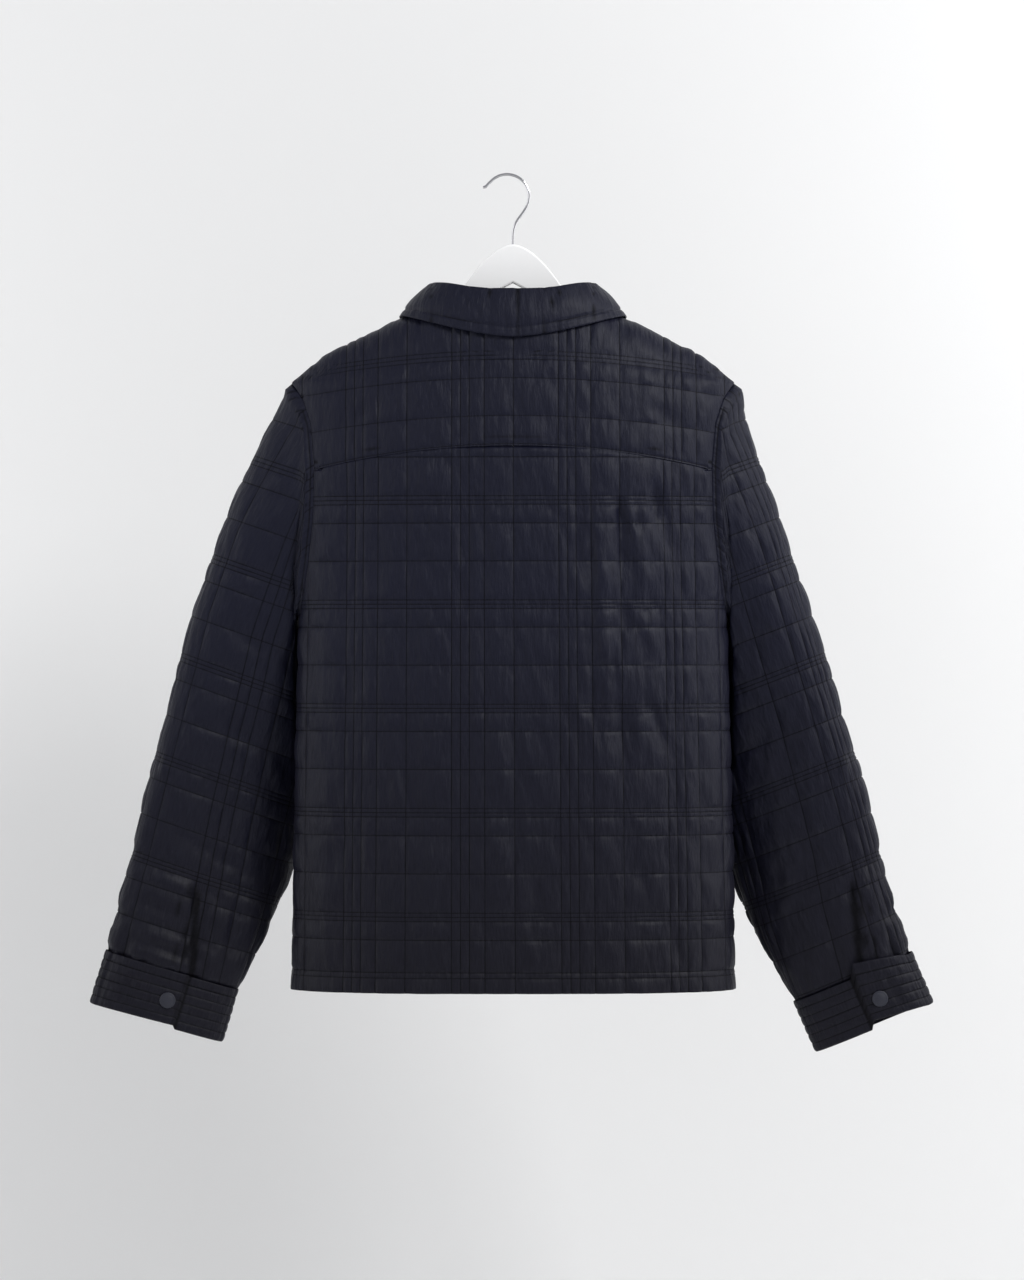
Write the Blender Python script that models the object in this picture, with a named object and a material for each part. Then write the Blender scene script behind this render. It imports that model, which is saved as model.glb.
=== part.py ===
"""A padded, windowpane-quilted shacket hanging on a flat wooden hanger, seen from its back along +Y.

Lengths below are in millimetres and become metres where a mesh is made. The origin is the point inside the
top of the hook where a rail would carry it. +X is the wearer's right, +Y the wearer's front, +Z is up.
"""

from math import cos, pi, radians, sin, tau

import bmesh
import bpy
import numpy as np

for old in list(bpy.data.objects):
    bpy.data.objects.remove(old, do_unlink=True)

MM = 0.001

# Cloth
WALL = 1.6            # shell, wadding and backing at a sewn line
PUFF = 1.7            # how far the wadding swells between sewn lines
SEAM_GAP = 0.35       # kept between two pieces at a seam
FRONT_GAP = 2.4       # between the fronts and the curved yoke edge above them
CREST_OVER = 24.0     # lines closer than this have no crest of points between them
PILE = 1.2            # least spacing of columns or rows that crowd against an edge

# Garment
CENTRE_X = 5.9        # the garment hangs this far off the hook's bearing point
HEM_Z = -812.0
YOKE_SEAM_Z = -272.8
ARMPIT_Z = -440.0
SHOULDER_Z = -207.0
YOKE_OVER = 30.0      # how far the yoke runs down the front from the shoulder ridge
NECK_HALF = 95.0
NECK_TURN = 88.0            # where the neck seam leaves the back for the shoulder
SEAM_FALL = 21.0            # the yoke seam falls this much toward the armholes
SEAM_FALL_AT = 190.0
LAP_LIFT = 5.0        # and lies this much proud of it
LAP = 16.0            # the wearer's left front passes the centre line by this much
CUFF_HEIGHT = 56.0

# Quilting: a triple line, then two single lines, in each repeat
REPEAT_X = 105.1
REPEAT_Z = 102.6
TRIPLE_X = -60.5      # a triple line's first stitch on the back, from the centre
TRIPLE_Z = -736.9     # the lowest triple line on the body
YOKE_TRIPLE_Z = -183.1
LINES_X = (0.0, 17.2, 32.0, 60.8)     # first and last of the triple, then the singles
LINES_Z = (0.0, 42.6, 80.0)           # triple, single, single, going up
HEM_SPREAD = 0.034                    # the lines stand this share wider apart at the hem

# Torso sections: height, half width, half depth, exponent of the superellipse
TORSO = np.array(
    [
        (-812.0, 221.0, 72.0, 2.7),
        (-704.0, 219.5, 72.0, 2.7),
        (-524.0, 216.0, 70.0, 2.6),
        (-440.0, 213.0, 68.0, 2.4),
        (-384.0, 217.0, 66.5, 2.3),
        (-300.0, 222.0, 63.0, 2.2),
        (-230.0, 225.0, 58.0, 2.0),
        (-207.0, 222.0, 56.0, 1.9),
        (-194.0, 207.0, 54.5, 1.8),
        (-179.0, 186.0, 53.0, 1.8),
        (-164.0, 157.0, 51.0, 1.9),
        (-152.0, 132.0, 49.5, 2.0),
        (-140.0, 107.5, 48.0, 2.0),
        (-128.0, 86.0, 46.5, 2.0),
        (-100.0, 40.0, 44.0, 2.0),
    ]
)
# Armhole edge: height, half width at which the torso is cut
ARMHOLE = np.array(
    [
        (-440.0, 213.0),
        (-432.0, 211.6),
        (-420.0, 208.8),
        (-384.0, 203.0),
        (-340.0, 198.5),
        (-290.0, 197.5),
        (-249.0, 201.0),
        (-225.0, 209.0),
        (-213.0, 217.0),
        (-207.0, 222.0),
    ]
)
# Sleeve rings by the height of their outer edge: height, outer edge from the centre, width, thickness,
# degrees that the ring slopes down toward the body, degrees that it turns to the front
SLEEVE_LEFT = np.array(
    [
        (-207.0, 224.0, 150.0, 56.0, 18.6, 0.0),
        (-254.0, 247.0, 160.0, 66.0, 18.6, 3.0),
        (-300.0, 267.0, 170.0, 72.0, 18.6, 8.0),
        (-345.0, 286.0, 174.0, 74.0, 18.6, 12.0),
        (-434.0, 319.0, 178.0, 70.0, 18.6, 19.0),
        (-524.0, 342.0, 180.0, 62.0, 18.6, 22.0),
        (-614.0, 365.0, 170.0, 55.0, 18.6, 21.0),
        (-660.0, 376.0, 162.0, 50.0, 18.6, 18.0),
        (-705.0, 387.0, 152.0, 44.0, 18.2, 14.0),
        (-774.0, 405.0, 135.0, 34.0, 17.2, 7.0),
    ]
)
SLEEVE_RIGHT = np.array(
    [
        (-207.0, 224.0, 150.0, 56.0, 20.0, 0.0),
        (-254.0, 236.5, 160.0, 66.0, 20.0, 3.0),
        (-300.0, 251.5, 166.0, 72.0, 20.0, 8.0),
        (-345.0, 267.0, 170.0, 74.0, 20.0, 12.0),
        (-434.0, 296.0, 174.0, 70.0, 20.0, 19.0),
        (-524.0, 324.0, 176.0, 62.0, 20.0, 22.0),
        (-614.0, 350.5, 164.0, 55.0, 20.5, 21.0),
        (-660.0, 363.0, 154.0, 50.0, 21.0, 18.0),
        (-705.0, 374.0, 143.0, 44.0, 22.0, 14.0),
        (-776.0, 397.0, 125.0, 34.0, 23.5, 7.0),
    ]
)
SLEEVE_TRIPLE_Z = -580.0   # outer edge height of a triple line that crosses both sleeves
SLEEVE_REPEAT = 98.5
SLEEVE_LINES = (0.0, 39.5, 77.5)
CLEAR = 5.0                # from the torso's sewn lines to a sleeve's


def read(table, z):
    """The other columns of a table, at height z."""
    return [np.interp(z, table[:, 0], table[:, k]) for k in range(1, table.shape[1])]


def torso_depth(x, z):
    """How far the torso's surface stands from its middle plane at lateral distance x."""
    half, depth, power = read(TORSO, z)
    share = np.clip(np.abs(x) / half, 0.0, 1.0)
    return depth * (1.0 - share**power) ** (1.0 / power)


def torso_field(point, more=0.0):
    """Under 1 inside the torso, over 1 outside it."""
    half, depth, power = read(TORSO, point[2])
    across = abs(point[0] - CENTRE_X) / (half + more)
    return across**power + (abs(point[1]) / (depth + more)) ** power


def torso_normal(point):
    step = 0.5
    slope = [torso_field(point + step * axis) - torso_field(point - step * axis) for axis in np.eye(3)]
    return np.array(slope) / (np.linalg.norm(slope) + 1e-12)


def quarter(z, count=160):
    """Arc lengths, lateral distances and depths along the torso's section from its centre to its side."""
    half, depth, power = read(TORSO, z)
    angle = np.linspace(0.0, pi / 2, count)
    x = half * np.sin(angle) ** (2.0 / power)
    y = depth * np.cos(angle).clip(0.0) ** (2.0 / power)
    arc = np.concatenate([[0.0], np.cumsum(np.hypot(np.diff(x), np.diff(y)))])
    return arc, x, y


def at_arc(s, z, side):
    """The point at arc length s from the centre line, on the back (side -1) or the front (side 1)."""
    arc, x, y = quarter(z)
    return np.array(
        [CENTRE_X + np.sign(s) * np.interp(abs(s), arc, x), side * np.interp(abs(s), arc, y), z]
    )


ARMHOLE_INSET = 1.2       # more room beside an armhole than at a side seam


def edge_arc(z, inset):
    """Arc length from the centre to the side seam or the armhole edge."""
    arc, x, _ = quarter(z)
    if z <= ARMPIT_Z:
        return arc[-1] - inset
    return np.interp(read(ARMHOLE, z)[0], x, arc) - inset - ARMHOLE_INSET


def ridge(x):
    """Height of the shoulder ridge at lateral distance x."""
    slope = TORSO[TORSO[:, 0] >= SHOULDER_Z]
    return np.interp(abs(x), slope[::-1, 1], slope[::-1, 0])


def squeeze(lines, low, high):
    """The lines that lie between low and high, with the rest crowded just inside them in order."""
    lines = np.asarray(lines, float)
    order = np.arange(len(lines))
    room = min(PILE, (high - low) / (len(lines) + 1))
    placed = np.minimum(lines, high - room * (len(lines) - 1 - order))
    placed = np.maximum(placed, low + room * order)
    placed[0], placed[-1] = low, high
    return placed


def stations(first, repeat, offsets, low, high):
    """Every sewn line between low and high, with the crest between each two that stand well apart."""
    lines = []
    for k in range(int((low - first) // repeat) - 1, int((high - first) // repeat) + 2):
        lines += [first + k * repeat + offset for offset in offsets]
    lines = sorted(lines)
    found = []
    for this, following in zip(lines, lines[1:]):
        found.append(this)
        if following - this > CREST_OVER:
            found.append((this + following) / 2)
    return [v for v in found if low < v < high]


def swell(value, first, repeat, offsets):
    """0 at a sewn line and up to 1 between two, less where they are close."""
    phase = (value - first) % repeat
    lines = list(offsets) + [repeat]
    k = max(i for i in range(len(offsets)) if i == 0 or phase >= lines[i])
    span = lines[k + 1] - lines[k]
    share = min(max((phase - lines[k]) / span, 0.0), 1.0)
    return (4.0 * share * (1.0 - share)) ** 0.6 * min(1.0, span / 25.0)


def puff(across, along, first_across, first_along):
    crest = swell(across, first_across, REPEAT_X, LINES_X) * swell(along, first_along, REPEAT_Z, LINES_Z)
    return PUFF * max(crest, 0.0) ** 0.8


def spread(s, z):
    """The line's own place in the cloth for an arc length s, as the lines stand wider at the hem."""
    share = np.interp(z, (HEM_Z, -320.0), (1.0, 0.0))
    return TRIPLE_X + (s - TRIPLE_X) / (1.0 + HEM_SPREAD * share)


def material(name, colour, roughness, metallic=0.0):
    made = bpy.data.materials.new(name)
    made.use_nodes = True
    shader = made.node_tree.nodes["Principled BSDF"]
    shader.inputs["Base Color"].default_value = (*colour, 1.0)
    shader.inputs["Roughness"].default_value = roughness
    shader.inputs["Metallic"].default_value = metallic
    return made


def add_mesh(name, points, faces, finish):
    mesh = bpy.data.meshes.new(name)
    mesh.from_pydata([tuple(MM * np.asarray(p)) for p in points], [], [tuple(f) for f in faces])
    work = bmesh.new()
    work.from_mesh(mesh)
    bmesh.ops.triangulate(work, faces=work.faces)
    bmesh.ops.recalc_face_normals(work, faces=work.faces)
    work.to_mesh(mesh)
    work.free()
    mesh.materials.append(finish)
    mesh.shade_smooth()
    mesh.set_sharp_from_angle(angle=radians(50.0))
    made = bpy.data.objects.new(name, mesh)
    bpy.context.scene.collection.objects.link(made)
    return made


def fan(outer, inner, faces):
    """Joins a chain of outer points to a chain of inner ones that has every so many of them."""
    for k in range(len(inner) - 1):
        stretch = outer[k]
        middle = len(stretch) // 2
        for i in range(len(stretch) - 1):
            faces.append((stretch[i], stretch[i + 1], inner[k] if i < middle else inner[k + 1]))
        faces.append((inner[k], stretch[middle], inner[k + 1]))


def cloth(name, outer, inner, finish, closed=False, keep=3):
    """A closed wall: a quilted outer grid over a plain inner one that has only some of its rows."""
    rows, columns = outer.shape[:2]
    kept = sorted(set(range(0, rows, keep)) | {rows - 1})
    points = list(outer.reshape(-1, 3)) + list(inner[kept].reshape(-1, 3))

    def out(r, c):
        return r * columns + c % columns

    def inn(k, c):
        return rows * columns + k * columns + c % columns

    faces = []
    across = columns if closed else columns - 1
    for c in range(across):
        for r in range(rows - 1):
            faces.append((out(r, c), out(r, c + 1), out(r + 1, c + 1), out(r + 1, c)))
        for k in range(len(kept) - 1):
            faces.append((inn(k, c + 1), inn(k, c), inn(k + 1, c), inn(k + 1, c + 1)))
        faces.append((out(0, c + 1), out(0, c), inn(0, c), inn(0, c + 1)))
        last = len(kept) - 1
        faces.append((out(rows - 1, c), out(rows - 1, c + 1), inn(last, c + 1), inn(last, c)))
    if not closed:
        for c in (0, columns - 1):
            stretches = [[out(r, c) for r in range(a, b + 1)] for a, b in zip(kept, kept[1:])]
            fan(stretches, [inn(k, c) for k in range(len(kept))], faces)
    return add_mesh(name, points, faces, finish)


def wall(name, base, swells, finish, normals=None, thickness=WALL, **more):
    """Cloth whose outer side is the base grid plus its swells, along the torso's own normals."""
    rows, columns = base.shape[:2]
    if normals is None:
        normals = np.array([[torso_normal(base[r, c]) for c in range(columns)] for r in range(rows)])
    outer = base + normals * swells[..., None]
    return cloth(name, outer, base - normals * thickness, finish, **more)


NAVY = material("navy_cloth", (0.020, 0.024, 0.042), 0.55)
NAVY_CAP = material("navy_snap", (0.030, 0.036, 0.060), 0.5)
WHITE = material("white_wood", (0.86, 0.86, 0.84), 0.45)
STEEL = material("chrome_wire", (0.78, 0.78, 0.80), 0.15, 1.0)


def neck_back(x):
    """Height of the back neck seam at lateral distance x."""
    return -152.0 + 22.0 * min(abs(x) / NECK_TURN, 1.0) ** 2.6


def neck_front(x):
    """Height of the front neck seam at lateral distance x."""
    return -205.0 + 44.0 * min(abs(x) / NECK_HALF, 1.0) ** 1.8


def columns_to(reach):
    return stations(TRIPLE_X, REPEAT_X, LINES_X, -reach, reach)


def body_panel(side, first, last, bottom, top, triple_z, z_range):
    """Grid of a panel between two edges given as arc lengths, and two more given as heights."""
    columns = [first(HEM_Z)] + [s for s in columns_to(330.0) if first(HEM_Z) < s < last(HEM_Z)] + [last(HEM_Z)]
    rows = stations(triple_z, REPEAT_Z, LINES_Z, *z_range)
    base = np.zeros((len(rows) + 2, len(columns), 3))
    swells = np.zeros(base.shape[:2])
    for c, column in enumerate(columns):
        heights = squeeze([bottom(column)] + rows + [top(column)], bottom(column), top(column))
        for r, z in enumerate(heights):
            places = squeeze([TRIPLE_X + (v - TRIPLE_X) * (spread_of(z)) for v in columns], first(z), last(z))
            s = places[c]
            base[r, c] = at_arc(s, z, side)
            calm = min((s - first(z)) / 12.0, (last(z) - s) / 12.0, 1.0)
            inside = 0 < r < len(heights) - 1
            swells[r, c] = calm * puff(spread(s, z), z, TRIPLE_X, triple_z) if inside else 0.0
    return base, swells


def spread_of(z):
    return 1.0 + HEM_SPREAD * np.interp(z, (HEM_Z, -320.0), (1.0, 0.0))


def shoulder_or_neck(x):
    """Top edge of a front panel at lateral distance x."""
    over = ridge(NECK_HALF) - YOKE_OVER
    if abs(x) >= NECK_HALF:
        return ridge(x) - YOKE_OVER
    return -205.0 + (over + 205.0) * (abs(x) / NECK_HALF) ** 1.8


def lateral(s, z):
    arc, x, _ = quarter(z)
    return np.interp(abs(s), arc, x)


SHOULDER_GAP = 4.0        # more room under the yoke near the shoulder
SHOULDER_FROM = 190.0


def seam_fall(x):
    """How far the yoke seam lies below its middle at lateral distance x."""
    return SEAM_FALL * (min(abs(x), SEAM_FALL_AT + 10.0) / SEAM_FALL_AT) ** 2


SEAM_ROOM = 1.8           # the two edges are straight between points, so they stand this far apart


def back_top(s):
    return YOKE_SEAM_Z - SEAM_ROOM - seam_fall(lateral(s, YOKE_SEAM_Z - SEAM_FALL))


def front_top(s):
    """Height at which a front's column at arc length s meets the yoke or the neck seam."""
    z = -200.0
    for _ in range(12):
        z = shoulder_or_neck(lateral(s, z))
    return z - FRONT_GAP - (SHOULDER_GAP if lateral(s, z) > SHOULDER_FROM else 0.0)


def back_panel():
    base, swells = body_panel(
        -1.0,
        lambda z: -edge_arc(z, SEAM_GAP / 2),
        lambda z: edge_arc(z, SEAM_GAP / 2),
        lambda s: HEM_Z,
        back_top,
        TRIPLE_Z,
        (HEM_Z + 4.0, YOKE_SEAM_Z - 4.0),
    )
    wall("back_panel", base, swells, NAVY)


def front_panel(name, sign, past, lift):
    """A front from its side seam to the centre and past it, raised where it laps over the other one."""

    def inner_edge(z):
        return sign * (0.5 - (past + 0.5) * np.interp(z, (-296.0, -268.0), (1.0, 0.0)))

    def outer_edge(z):
        return sign * edge_arc(z, SEAM_GAP / 2)

    ends = (inner_edge, outer_edge) if sign > 0 else (outer_edge, inner_edge)
    base, swells = body_panel(
        1.0,
        *ends,
        lambda s: HEM_Z,
        front_top,
        TRIPLE_Z,
        (HEM_Z + 4.0, -140.0),
    )
    raised = np.clip((42.0 + (base[..., 0] - CENTRE_X)) / 22.0, 0.0, 1.0)
    below = np.interp(base[..., 2], (-240.0, -215.0), (1.0, 0.0))
    raised = below * raised * raised * (3.0 - 2.0 * raised)
    if lift:
        base[..., 1] += lift * raised
        swells *= 1.0 - raised
    normals = np.array([[torso_normal(point) for point in row] for row in base])
    return wall(name, base, swells, NAVY, normals=normals)


def yoke_far(x):
    """Where a yoke column ends, as a distance over the shoulder from the yoke seam."""
    over = ridge(x) - YOKE_SEAM_Z
    if abs(x) <= NECK_TURN:
        return neck_back(x) - YOKE_SEAM_Z
    return over + YOKE_OVER * min((abs(x) - NECK_TURN) / (NECK_HALF - NECK_TURN), 1.0)


OVER_RIDGE = np.array([-14.0, -5.0, 0.0, 5.0, 14.0, 30.0])   # rows of the yoke about the shoulder ridge
BY_NECK = np.array([-22.0, -17.0, -12.0, -8.0, -4.0, 0.0])    # the same rows below the neck seam


YOKE_INNER = 196.0        # quilting lines are columns out to here
YOKE_ENDS = (204.0, 211.0, 217.0, 221.0)
YOKE_HALF = 222.0         # half width of the yoke over the shoulder ridge


def yoke_rows(x, lines):
    """Distances of a column's rows over the shoulder from the yoke seam."""
    over = ridge(x) - YOKE_SEAM_Z
    turn = min(max((abs(x) - NECK_TURN) / (NECK_HALF - NECK_TURN), 0.0), 1.0)
    upper = min(neck_back(x) - YOKE_SEAM_Z, over) * (1.0 - turn) + over * turn
    upper = upper + BY_NECK * (1.0 - turn) + OVER_RIDGE * turn
    return np.concatenate([squeeze([-seam_fall(x)] + lines, -seam_fall(x), upper[0] - 3.0), upper])


def yoke():
    corners = [k * side for side in (-1.0, 1.0) for k in (NECK_TURN, (NECK_TURN + NECK_HALF) / 2, NECK_HALF)]
    inner = [s for s in columns_to(YOKE_INNER) if min(abs(s - k) for k in corners) > 4.0]
    shoulder = [sign * k for sign in (-1.0, 1.0) for k in YOKE_ENDS]
    columns = sorted(inner + corners + shoulder)
    highest = ridge(NECK_HALF) + BY_NECK[0]
    lines = [z - YOKE_SEAM_Z for z in stations(YOKE_TRIPLE_Z, REPEAT_Z, LINES_Z, YOKE_SEAM_Z + 4.0, highest)]
    base = np.zeros((len(lines) + 1 + len(OVER_RIDGE), len(columns), 3))
    swells = np.zeros(base.shape[:2])
    for c, column in enumerate(columns):
        top = ridge(column)
        for r, over in enumerate(yoke_rows(column, lines)):
            past = over - (top - YOKE_SEAM_Z)
            z = top - abs(past)
            limit = read(ARMHOLE, z)[0] - SEAM_GAP if z < SHOULDER_Z else YOKE_HALF
            crowd = PILE * min(c, len(columns) - 1 - c)
            x = np.sign(column) * min(abs(column), limit - crowd)
            z = min(z, ridge(x))
            side = -1.0 if past < 0.0 else 1.0
            base[r, c] = (CENTRE_X + x, side * torso_depth(x, z), z)
            inside = 0 < r < base.shape[0] - 1 and 0 < c < len(columns) - 1
            swells[r, c] = puff(x, YOKE_SEAM_Z + over, TRIPLE_X, YOKE_TRIPLE_Z) if inside else 0.0
    wall("back_yoke", base, swells, NAVY, keep=1)


def armhole(share, side):
    """The armhole's point at a share of its half length, from the shoulder (0) to the armpit (1)."""
    z = np.linspace(SHOULDER_Z, ARMPIT_Z, 120)
    x = np.array([read(ARMHOLE, v)[0] for v in z])
    y = np.array([torso_depth(a, b) for a, b in zip(x, z)])
    y[0] = 0.0
    arc = np.concatenate([[0.0], np.cumsum(np.sqrt(np.diff(x) ** 2 + np.diff(y) ** 2 + np.diff(z) ** 2))])
    at = share * arc[-1]
    return np.array([np.interp(at, arc, x), side * np.interp(at, arc, y), np.interp(at, arc, z)])


def rising(table):
    return table[np.argsort(table[:, 0])]


def ring(table, z):
    """Centre, half width vector, half thickness vector and half girth of the sleeve's ring at outer height z."""
    edge, width, thick, slope, turn = read(rising(table), z)
    across = np.array([-cos(radians(slope)) * cos(radians(turn)), sin(radians(turn)), -sin(radians(slope))])
    down = np.array([sin(radians(slope)), 0.0, -cos(radians(slope))])
    back = np.cross(across, down)
    back *= -np.sign(back[1]) / np.linalg.norm(back)
    outer = np.array([edge, 0.0, z])
    centre = outer + across * width / 2
    half_girth = pi / 2 * (1.5 * (width + thick) / 2 - 0.5 * np.sqrt(width * thick))
    return centre, -across * width / 2, back * thick / 2, half_girth


def tube_point(table, z, share, side):
    """The free sleeve's point: share 0 at its outer edge to 1 at its inner one, side -1 on the back."""
    centre, wide, thick, _ = ring(table, z)
    angle = pi * share
    return centre + wide * cos(angle) - side * thick * sin(angle) ** 0.85


def push_out(point, clear):
    """Moves a point that is too near the torso straight out from the torso's middle line."""
    half, depth, power = read(TORSO, point[2])
    across = abs(point[0]) / (half + clear)
    through = abs(point[1]) / (depth + clear)
    size = (across**power + through**power) ** (1.0 / power)
    if size >= 1.0 or size == 0.0:
        return point
    return np.array([point[0] / size, point[1] / size, point[2]])


def sleeve_start(table, point):
    """The outer height of the ring whose plane holds the armhole's point."""
    z = point[2]
    for _ in range(25):
        edge, _, _, slope, _ = read(rising(table), z)
        off = (point[0] - edge) * sin(radians(slope)) - (point[2] - z) * cos(radians(slope))
        z -= off * 0.9
    return z


HALF_GIRTH_Z = -524.0     # the outer height where the sleeve's lines are laid out
LEAN_OVER = 60.0          # the lines take their own places over this much below the armhole
FADE_OVER = 150.0         # and the tube its own shape over this much
REACH_OVER = 5.0          # the gap to the body opens over this much
CALM_OVER = 30.0          # and the padding over this much


def sleeve_lines(first_line, half_girth):
    return stations(first_line, REPEAT_X, LINES_X, 12.0, half_girth - 6.0)


def sleeve_grid(table, first_line, rows):
    """Base points and swells of a sleeve, on the +X side and about the torso's middle plane.

    Its columns run from the outer edge over the back to the underarm, and on over the front.
    The last thing returned is the underarm's column.
    """
    end = table[-1, 0]
    half_girth = ring(table, HALF_GIRTH_Z)[3]
    back = sleeve_lines(first_line, half_girth)
    front = sleeve_lines(-first_line, half_girth)
    loop = [(-1.0, 0.0)] + [(-1.0, s) for s in back] + [(-1.0, half_girth)] + [(1.0, s) for s in reversed(front)]
    listed = {-1.0: [0.0] + back + [half_girth], 1.0: [0.0] + front + [half_girth]}
    base = np.zeros((len(rows) + 2, len(loop), 3))
    swells = np.zeros(base.shape[:2])
    for c, (side, s) in enumerate(loop):
        share0 = s / half_girth
        rim = armhole(share0, side)
        start = sleeve_start(table, rim)
        heights = -squeeze([-start] + [-z for z in rows] + [-end], -start, -end)
        offset = rim - tube_point(table, start, share0, side)
        for r, z in enumerate(heights):
            past = start - z
            girth = ring(table, z)[3]
            places = squeeze(listed[side], 0.0, girth)
            near = min(max(past / LEAN_OVER, 0.0), 1.0)
            share = share0 * (1.0 - near) + near * places[listed[side].index(s)] / girth
            fade = max(1.0 - past / FADE_OVER, 0.0) ** 2
            point = tube_point(table, z, share, side) + offset * fade
            base[r, c] = push_out(point, CLEAR * min(past / REACH_OVER, 1.0))
            along = (z - SLEEVE_TRIPLE_Z) * REPEAT_Z / SLEEVE_REPEAT + TRIPLE_Z
            if 0 < r < len(heights) - 1 and s < half_girth:
                swells[r, c] = puff(side * -s, along, first_line, TRIPLE_Z) * min(past / CALM_OVER, 1.0)
        base[0, c] = rim_gap(rim)
    return base, swells, len(back) + 1


def rim_gap(rim):
    """The sleeve's first point, set off from the panel's edge into the armhole."""
    lower = np.clip((rim[2] - ARMPIT_Z) / 40.0, 0.0, 1.0)
    way = np.array([lower, 0.0, 1.0 - lower])
    return rim + way / np.linalg.norm(way) * 2 * SEAM_GAP


def tube_normals(base):
    """Normals of a tube's grid, all to one side, from its own rows and columns."""
    along = np.gradient(base, axis=0)
    around = (np.roll(base, -1, axis=1) - np.roll(base, 1, axis=1)) / 2
    normals = np.cross(around, along)
    return normals / (np.linalg.norm(normals, axis=2, keepdims=True) + 1e-9)


def place(grid, sign):
    placed = grid * np.array([sign, 1.0, 1.0])
    placed[..., 0] += CENTRE_X
    return placed


def seam_off(base, column, toward):
    """A column of the grid moved a little toward the next one, to leave room for a seam."""
    way = base[:, toward] - base[:, column]
    return base[:, column] + way / np.linalg.norm(way, axis=1, keepdims=True) * SEAM_GAP


def sleeve(name, table, sign, first_line):
    """A sleeve's back and front halves, which meet at its outer edge and under the arm."""
    low, high = table[-1, 0] + 3.0, SHOULDER_Z - 6.0
    rows = stations(SLEEVE_TRIPLE_Z, SLEEVE_REPEAT, SLEEVE_LINES, low, high)[::-1]
    base, swells, under = sleeve_grid(table, first_line, rows)
    normals = tube_normals(base)
    centre = base.mean(axis=1, keepdims=True)
    normals *= np.sign(((base - centre) * normals).sum(axis=2).mean())
    for c in range(base.shape[1]):
        normals[0, c] = torso_normal(base[0, c] + np.array([CENTRE_X, 0.0, 0.0]))
    flip = np.array([sign, 1.0, 1.0])
    count = base.shape[1]
    halves = (("_back", list(range(under + 1))), ("_front", list(range(under, count)) + [0]))
    for ending, columns in halves:
        part = base[:, columns].copy()
        part[:, 0] = seam_off(base, columns[0], columns[1])
        part[:, -1] = seam_off(base, columns[-1], columns[-2])
        calm = swells[:, columns].copy()
        calm[:, [0, -1]] = 0.0
        wall(name + ending, place(part, sign), calm, NAVY, normals=normals[:, columns] * flip)


FLAP_STEP = 2.6
CUFF_ROW = 9.3


def cuff(name, table, sign, edge_share, snap_share):
    """A band below the sleeve whose flap laps over itself on the back, and its snap."""
    centre, wide, thick, _ = ring(table, table[-1, 0])
    slope = read(rising(table), table[-1, 0])[3]
    down = np.array([sin(radians(slope)), 0.0, -cos(radians(slope))])
    edge = np.arccos(1.0 - 2.0 * edge_share)
    start = 0.12 * pi
    angles = [start] + list(np.linspace(start + 0.25, edge - 0.2, 4)) + [edge - 0.012, edge + 0.012]
    angles += list(np.linspace(edge + 0.2, 2 * pi - 0.2, 13))
    heights = [0.9] + list(np.arange(1, 12) * CUFF_ROW / 2) + [CUFF_HEIGHT]
    base = np.zeros((len(heights), len(angles), 3))
    swells = np.zeros(base.shape[:2])
    way = np.zeros(base.shape)
    for c, angle in enumerate(angles):
        out = wide * cos(angle) / np.linalg.norm(wide) ** 2 + thick * sin(angle) / np.linalg.norm(thick) ** 2
        out /= np.linalg.norm(out)
        for r, height in enumerate(heights):
            swing = np.sign(sin(angle)) * abs(sin(angle)) ** 0.85
            base[r, c] = centre + wide * cos(angle) + thick * swing + down * height + out * 1.5
            way[r, c] = out
            ridge_here = 0.9 if r % 2 == 1 and r < len(heights) - 1 else 0.0
            lapped = FLAP_STEP if start + 0.2 < angle < edge else 0.0
            swells[r, c] = ridge_here + lapped
    flip = np.array([sign, 1.0, 1.0])
    wall(name, place(base, sign), swells, NAVY, normals=way * flip, closed=True, keep=4)
    angle = np.arccos(1.0 - 2.0 * snap_share)
    out = wide * cos(angle) / np.linalg.norm(wide) ** 2 + thick * sin(angle) / np.linalg.norm(thick) ** 2
    out /= np.linalg.norm(out)
    swing = abs(sin(angle)) ** 0.85
    seat = centre + wide * cos(angle) + thick * swing + down * CUFF_HEIGHT * 0.52
    seat = seat + out * (1.5 + FLAP_STEP + 0.9 + 0.3)
    snap(name.replace("cuff", "cuff_snap"), seat * flip + np.array([CENTRE_X, 0.0, 0.0]), out * flip)


SNAP_RADIUS = 8.0
SNAP_HEIGHT = 2.4


def snap(name, seat, out):
    """A low domed cap, flat underneath, on the point seat and facing out."""
    side = np.cross(out, [0.0, 0.0, 1.0])
    side /= np.linalg.norm(side)
    up = np.cross(side, out)
    profile = [(1.0, 0.0), (1.0, 0.35), (0.9, 0.7), (0.5, 0.95)]
    count = 14
    points = []
    for share, height in profile:
        for k in range(count):
            turn = tau * k / count
            flat = (side * cos(turn) + up * sin(turn)) * SNAP_RADIUS * share
            points.append(seat + flat + out * SNAP_HEIGHT * height)
    points += [seat, seat + out * SNAP_HEIGHT]
    faces = []
    for r in range(len(profile) - 1):
        for k in range(count):
            k2 = (k + 1) % count
            faces.append((r * count + k, r * count + k2, (r + 1) * count + k2, (r + 1) * count + k))
    last = (len(profile) - 1) * count
    for k in range(count):
        k2 = (k + 1) % count
        faces.append((k2, k, len(points) - 2))
        faces.append((last + k, last + k2, len(points) - 1))
    add_mesh(name, points, faces, NAVY_CAP)


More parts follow.
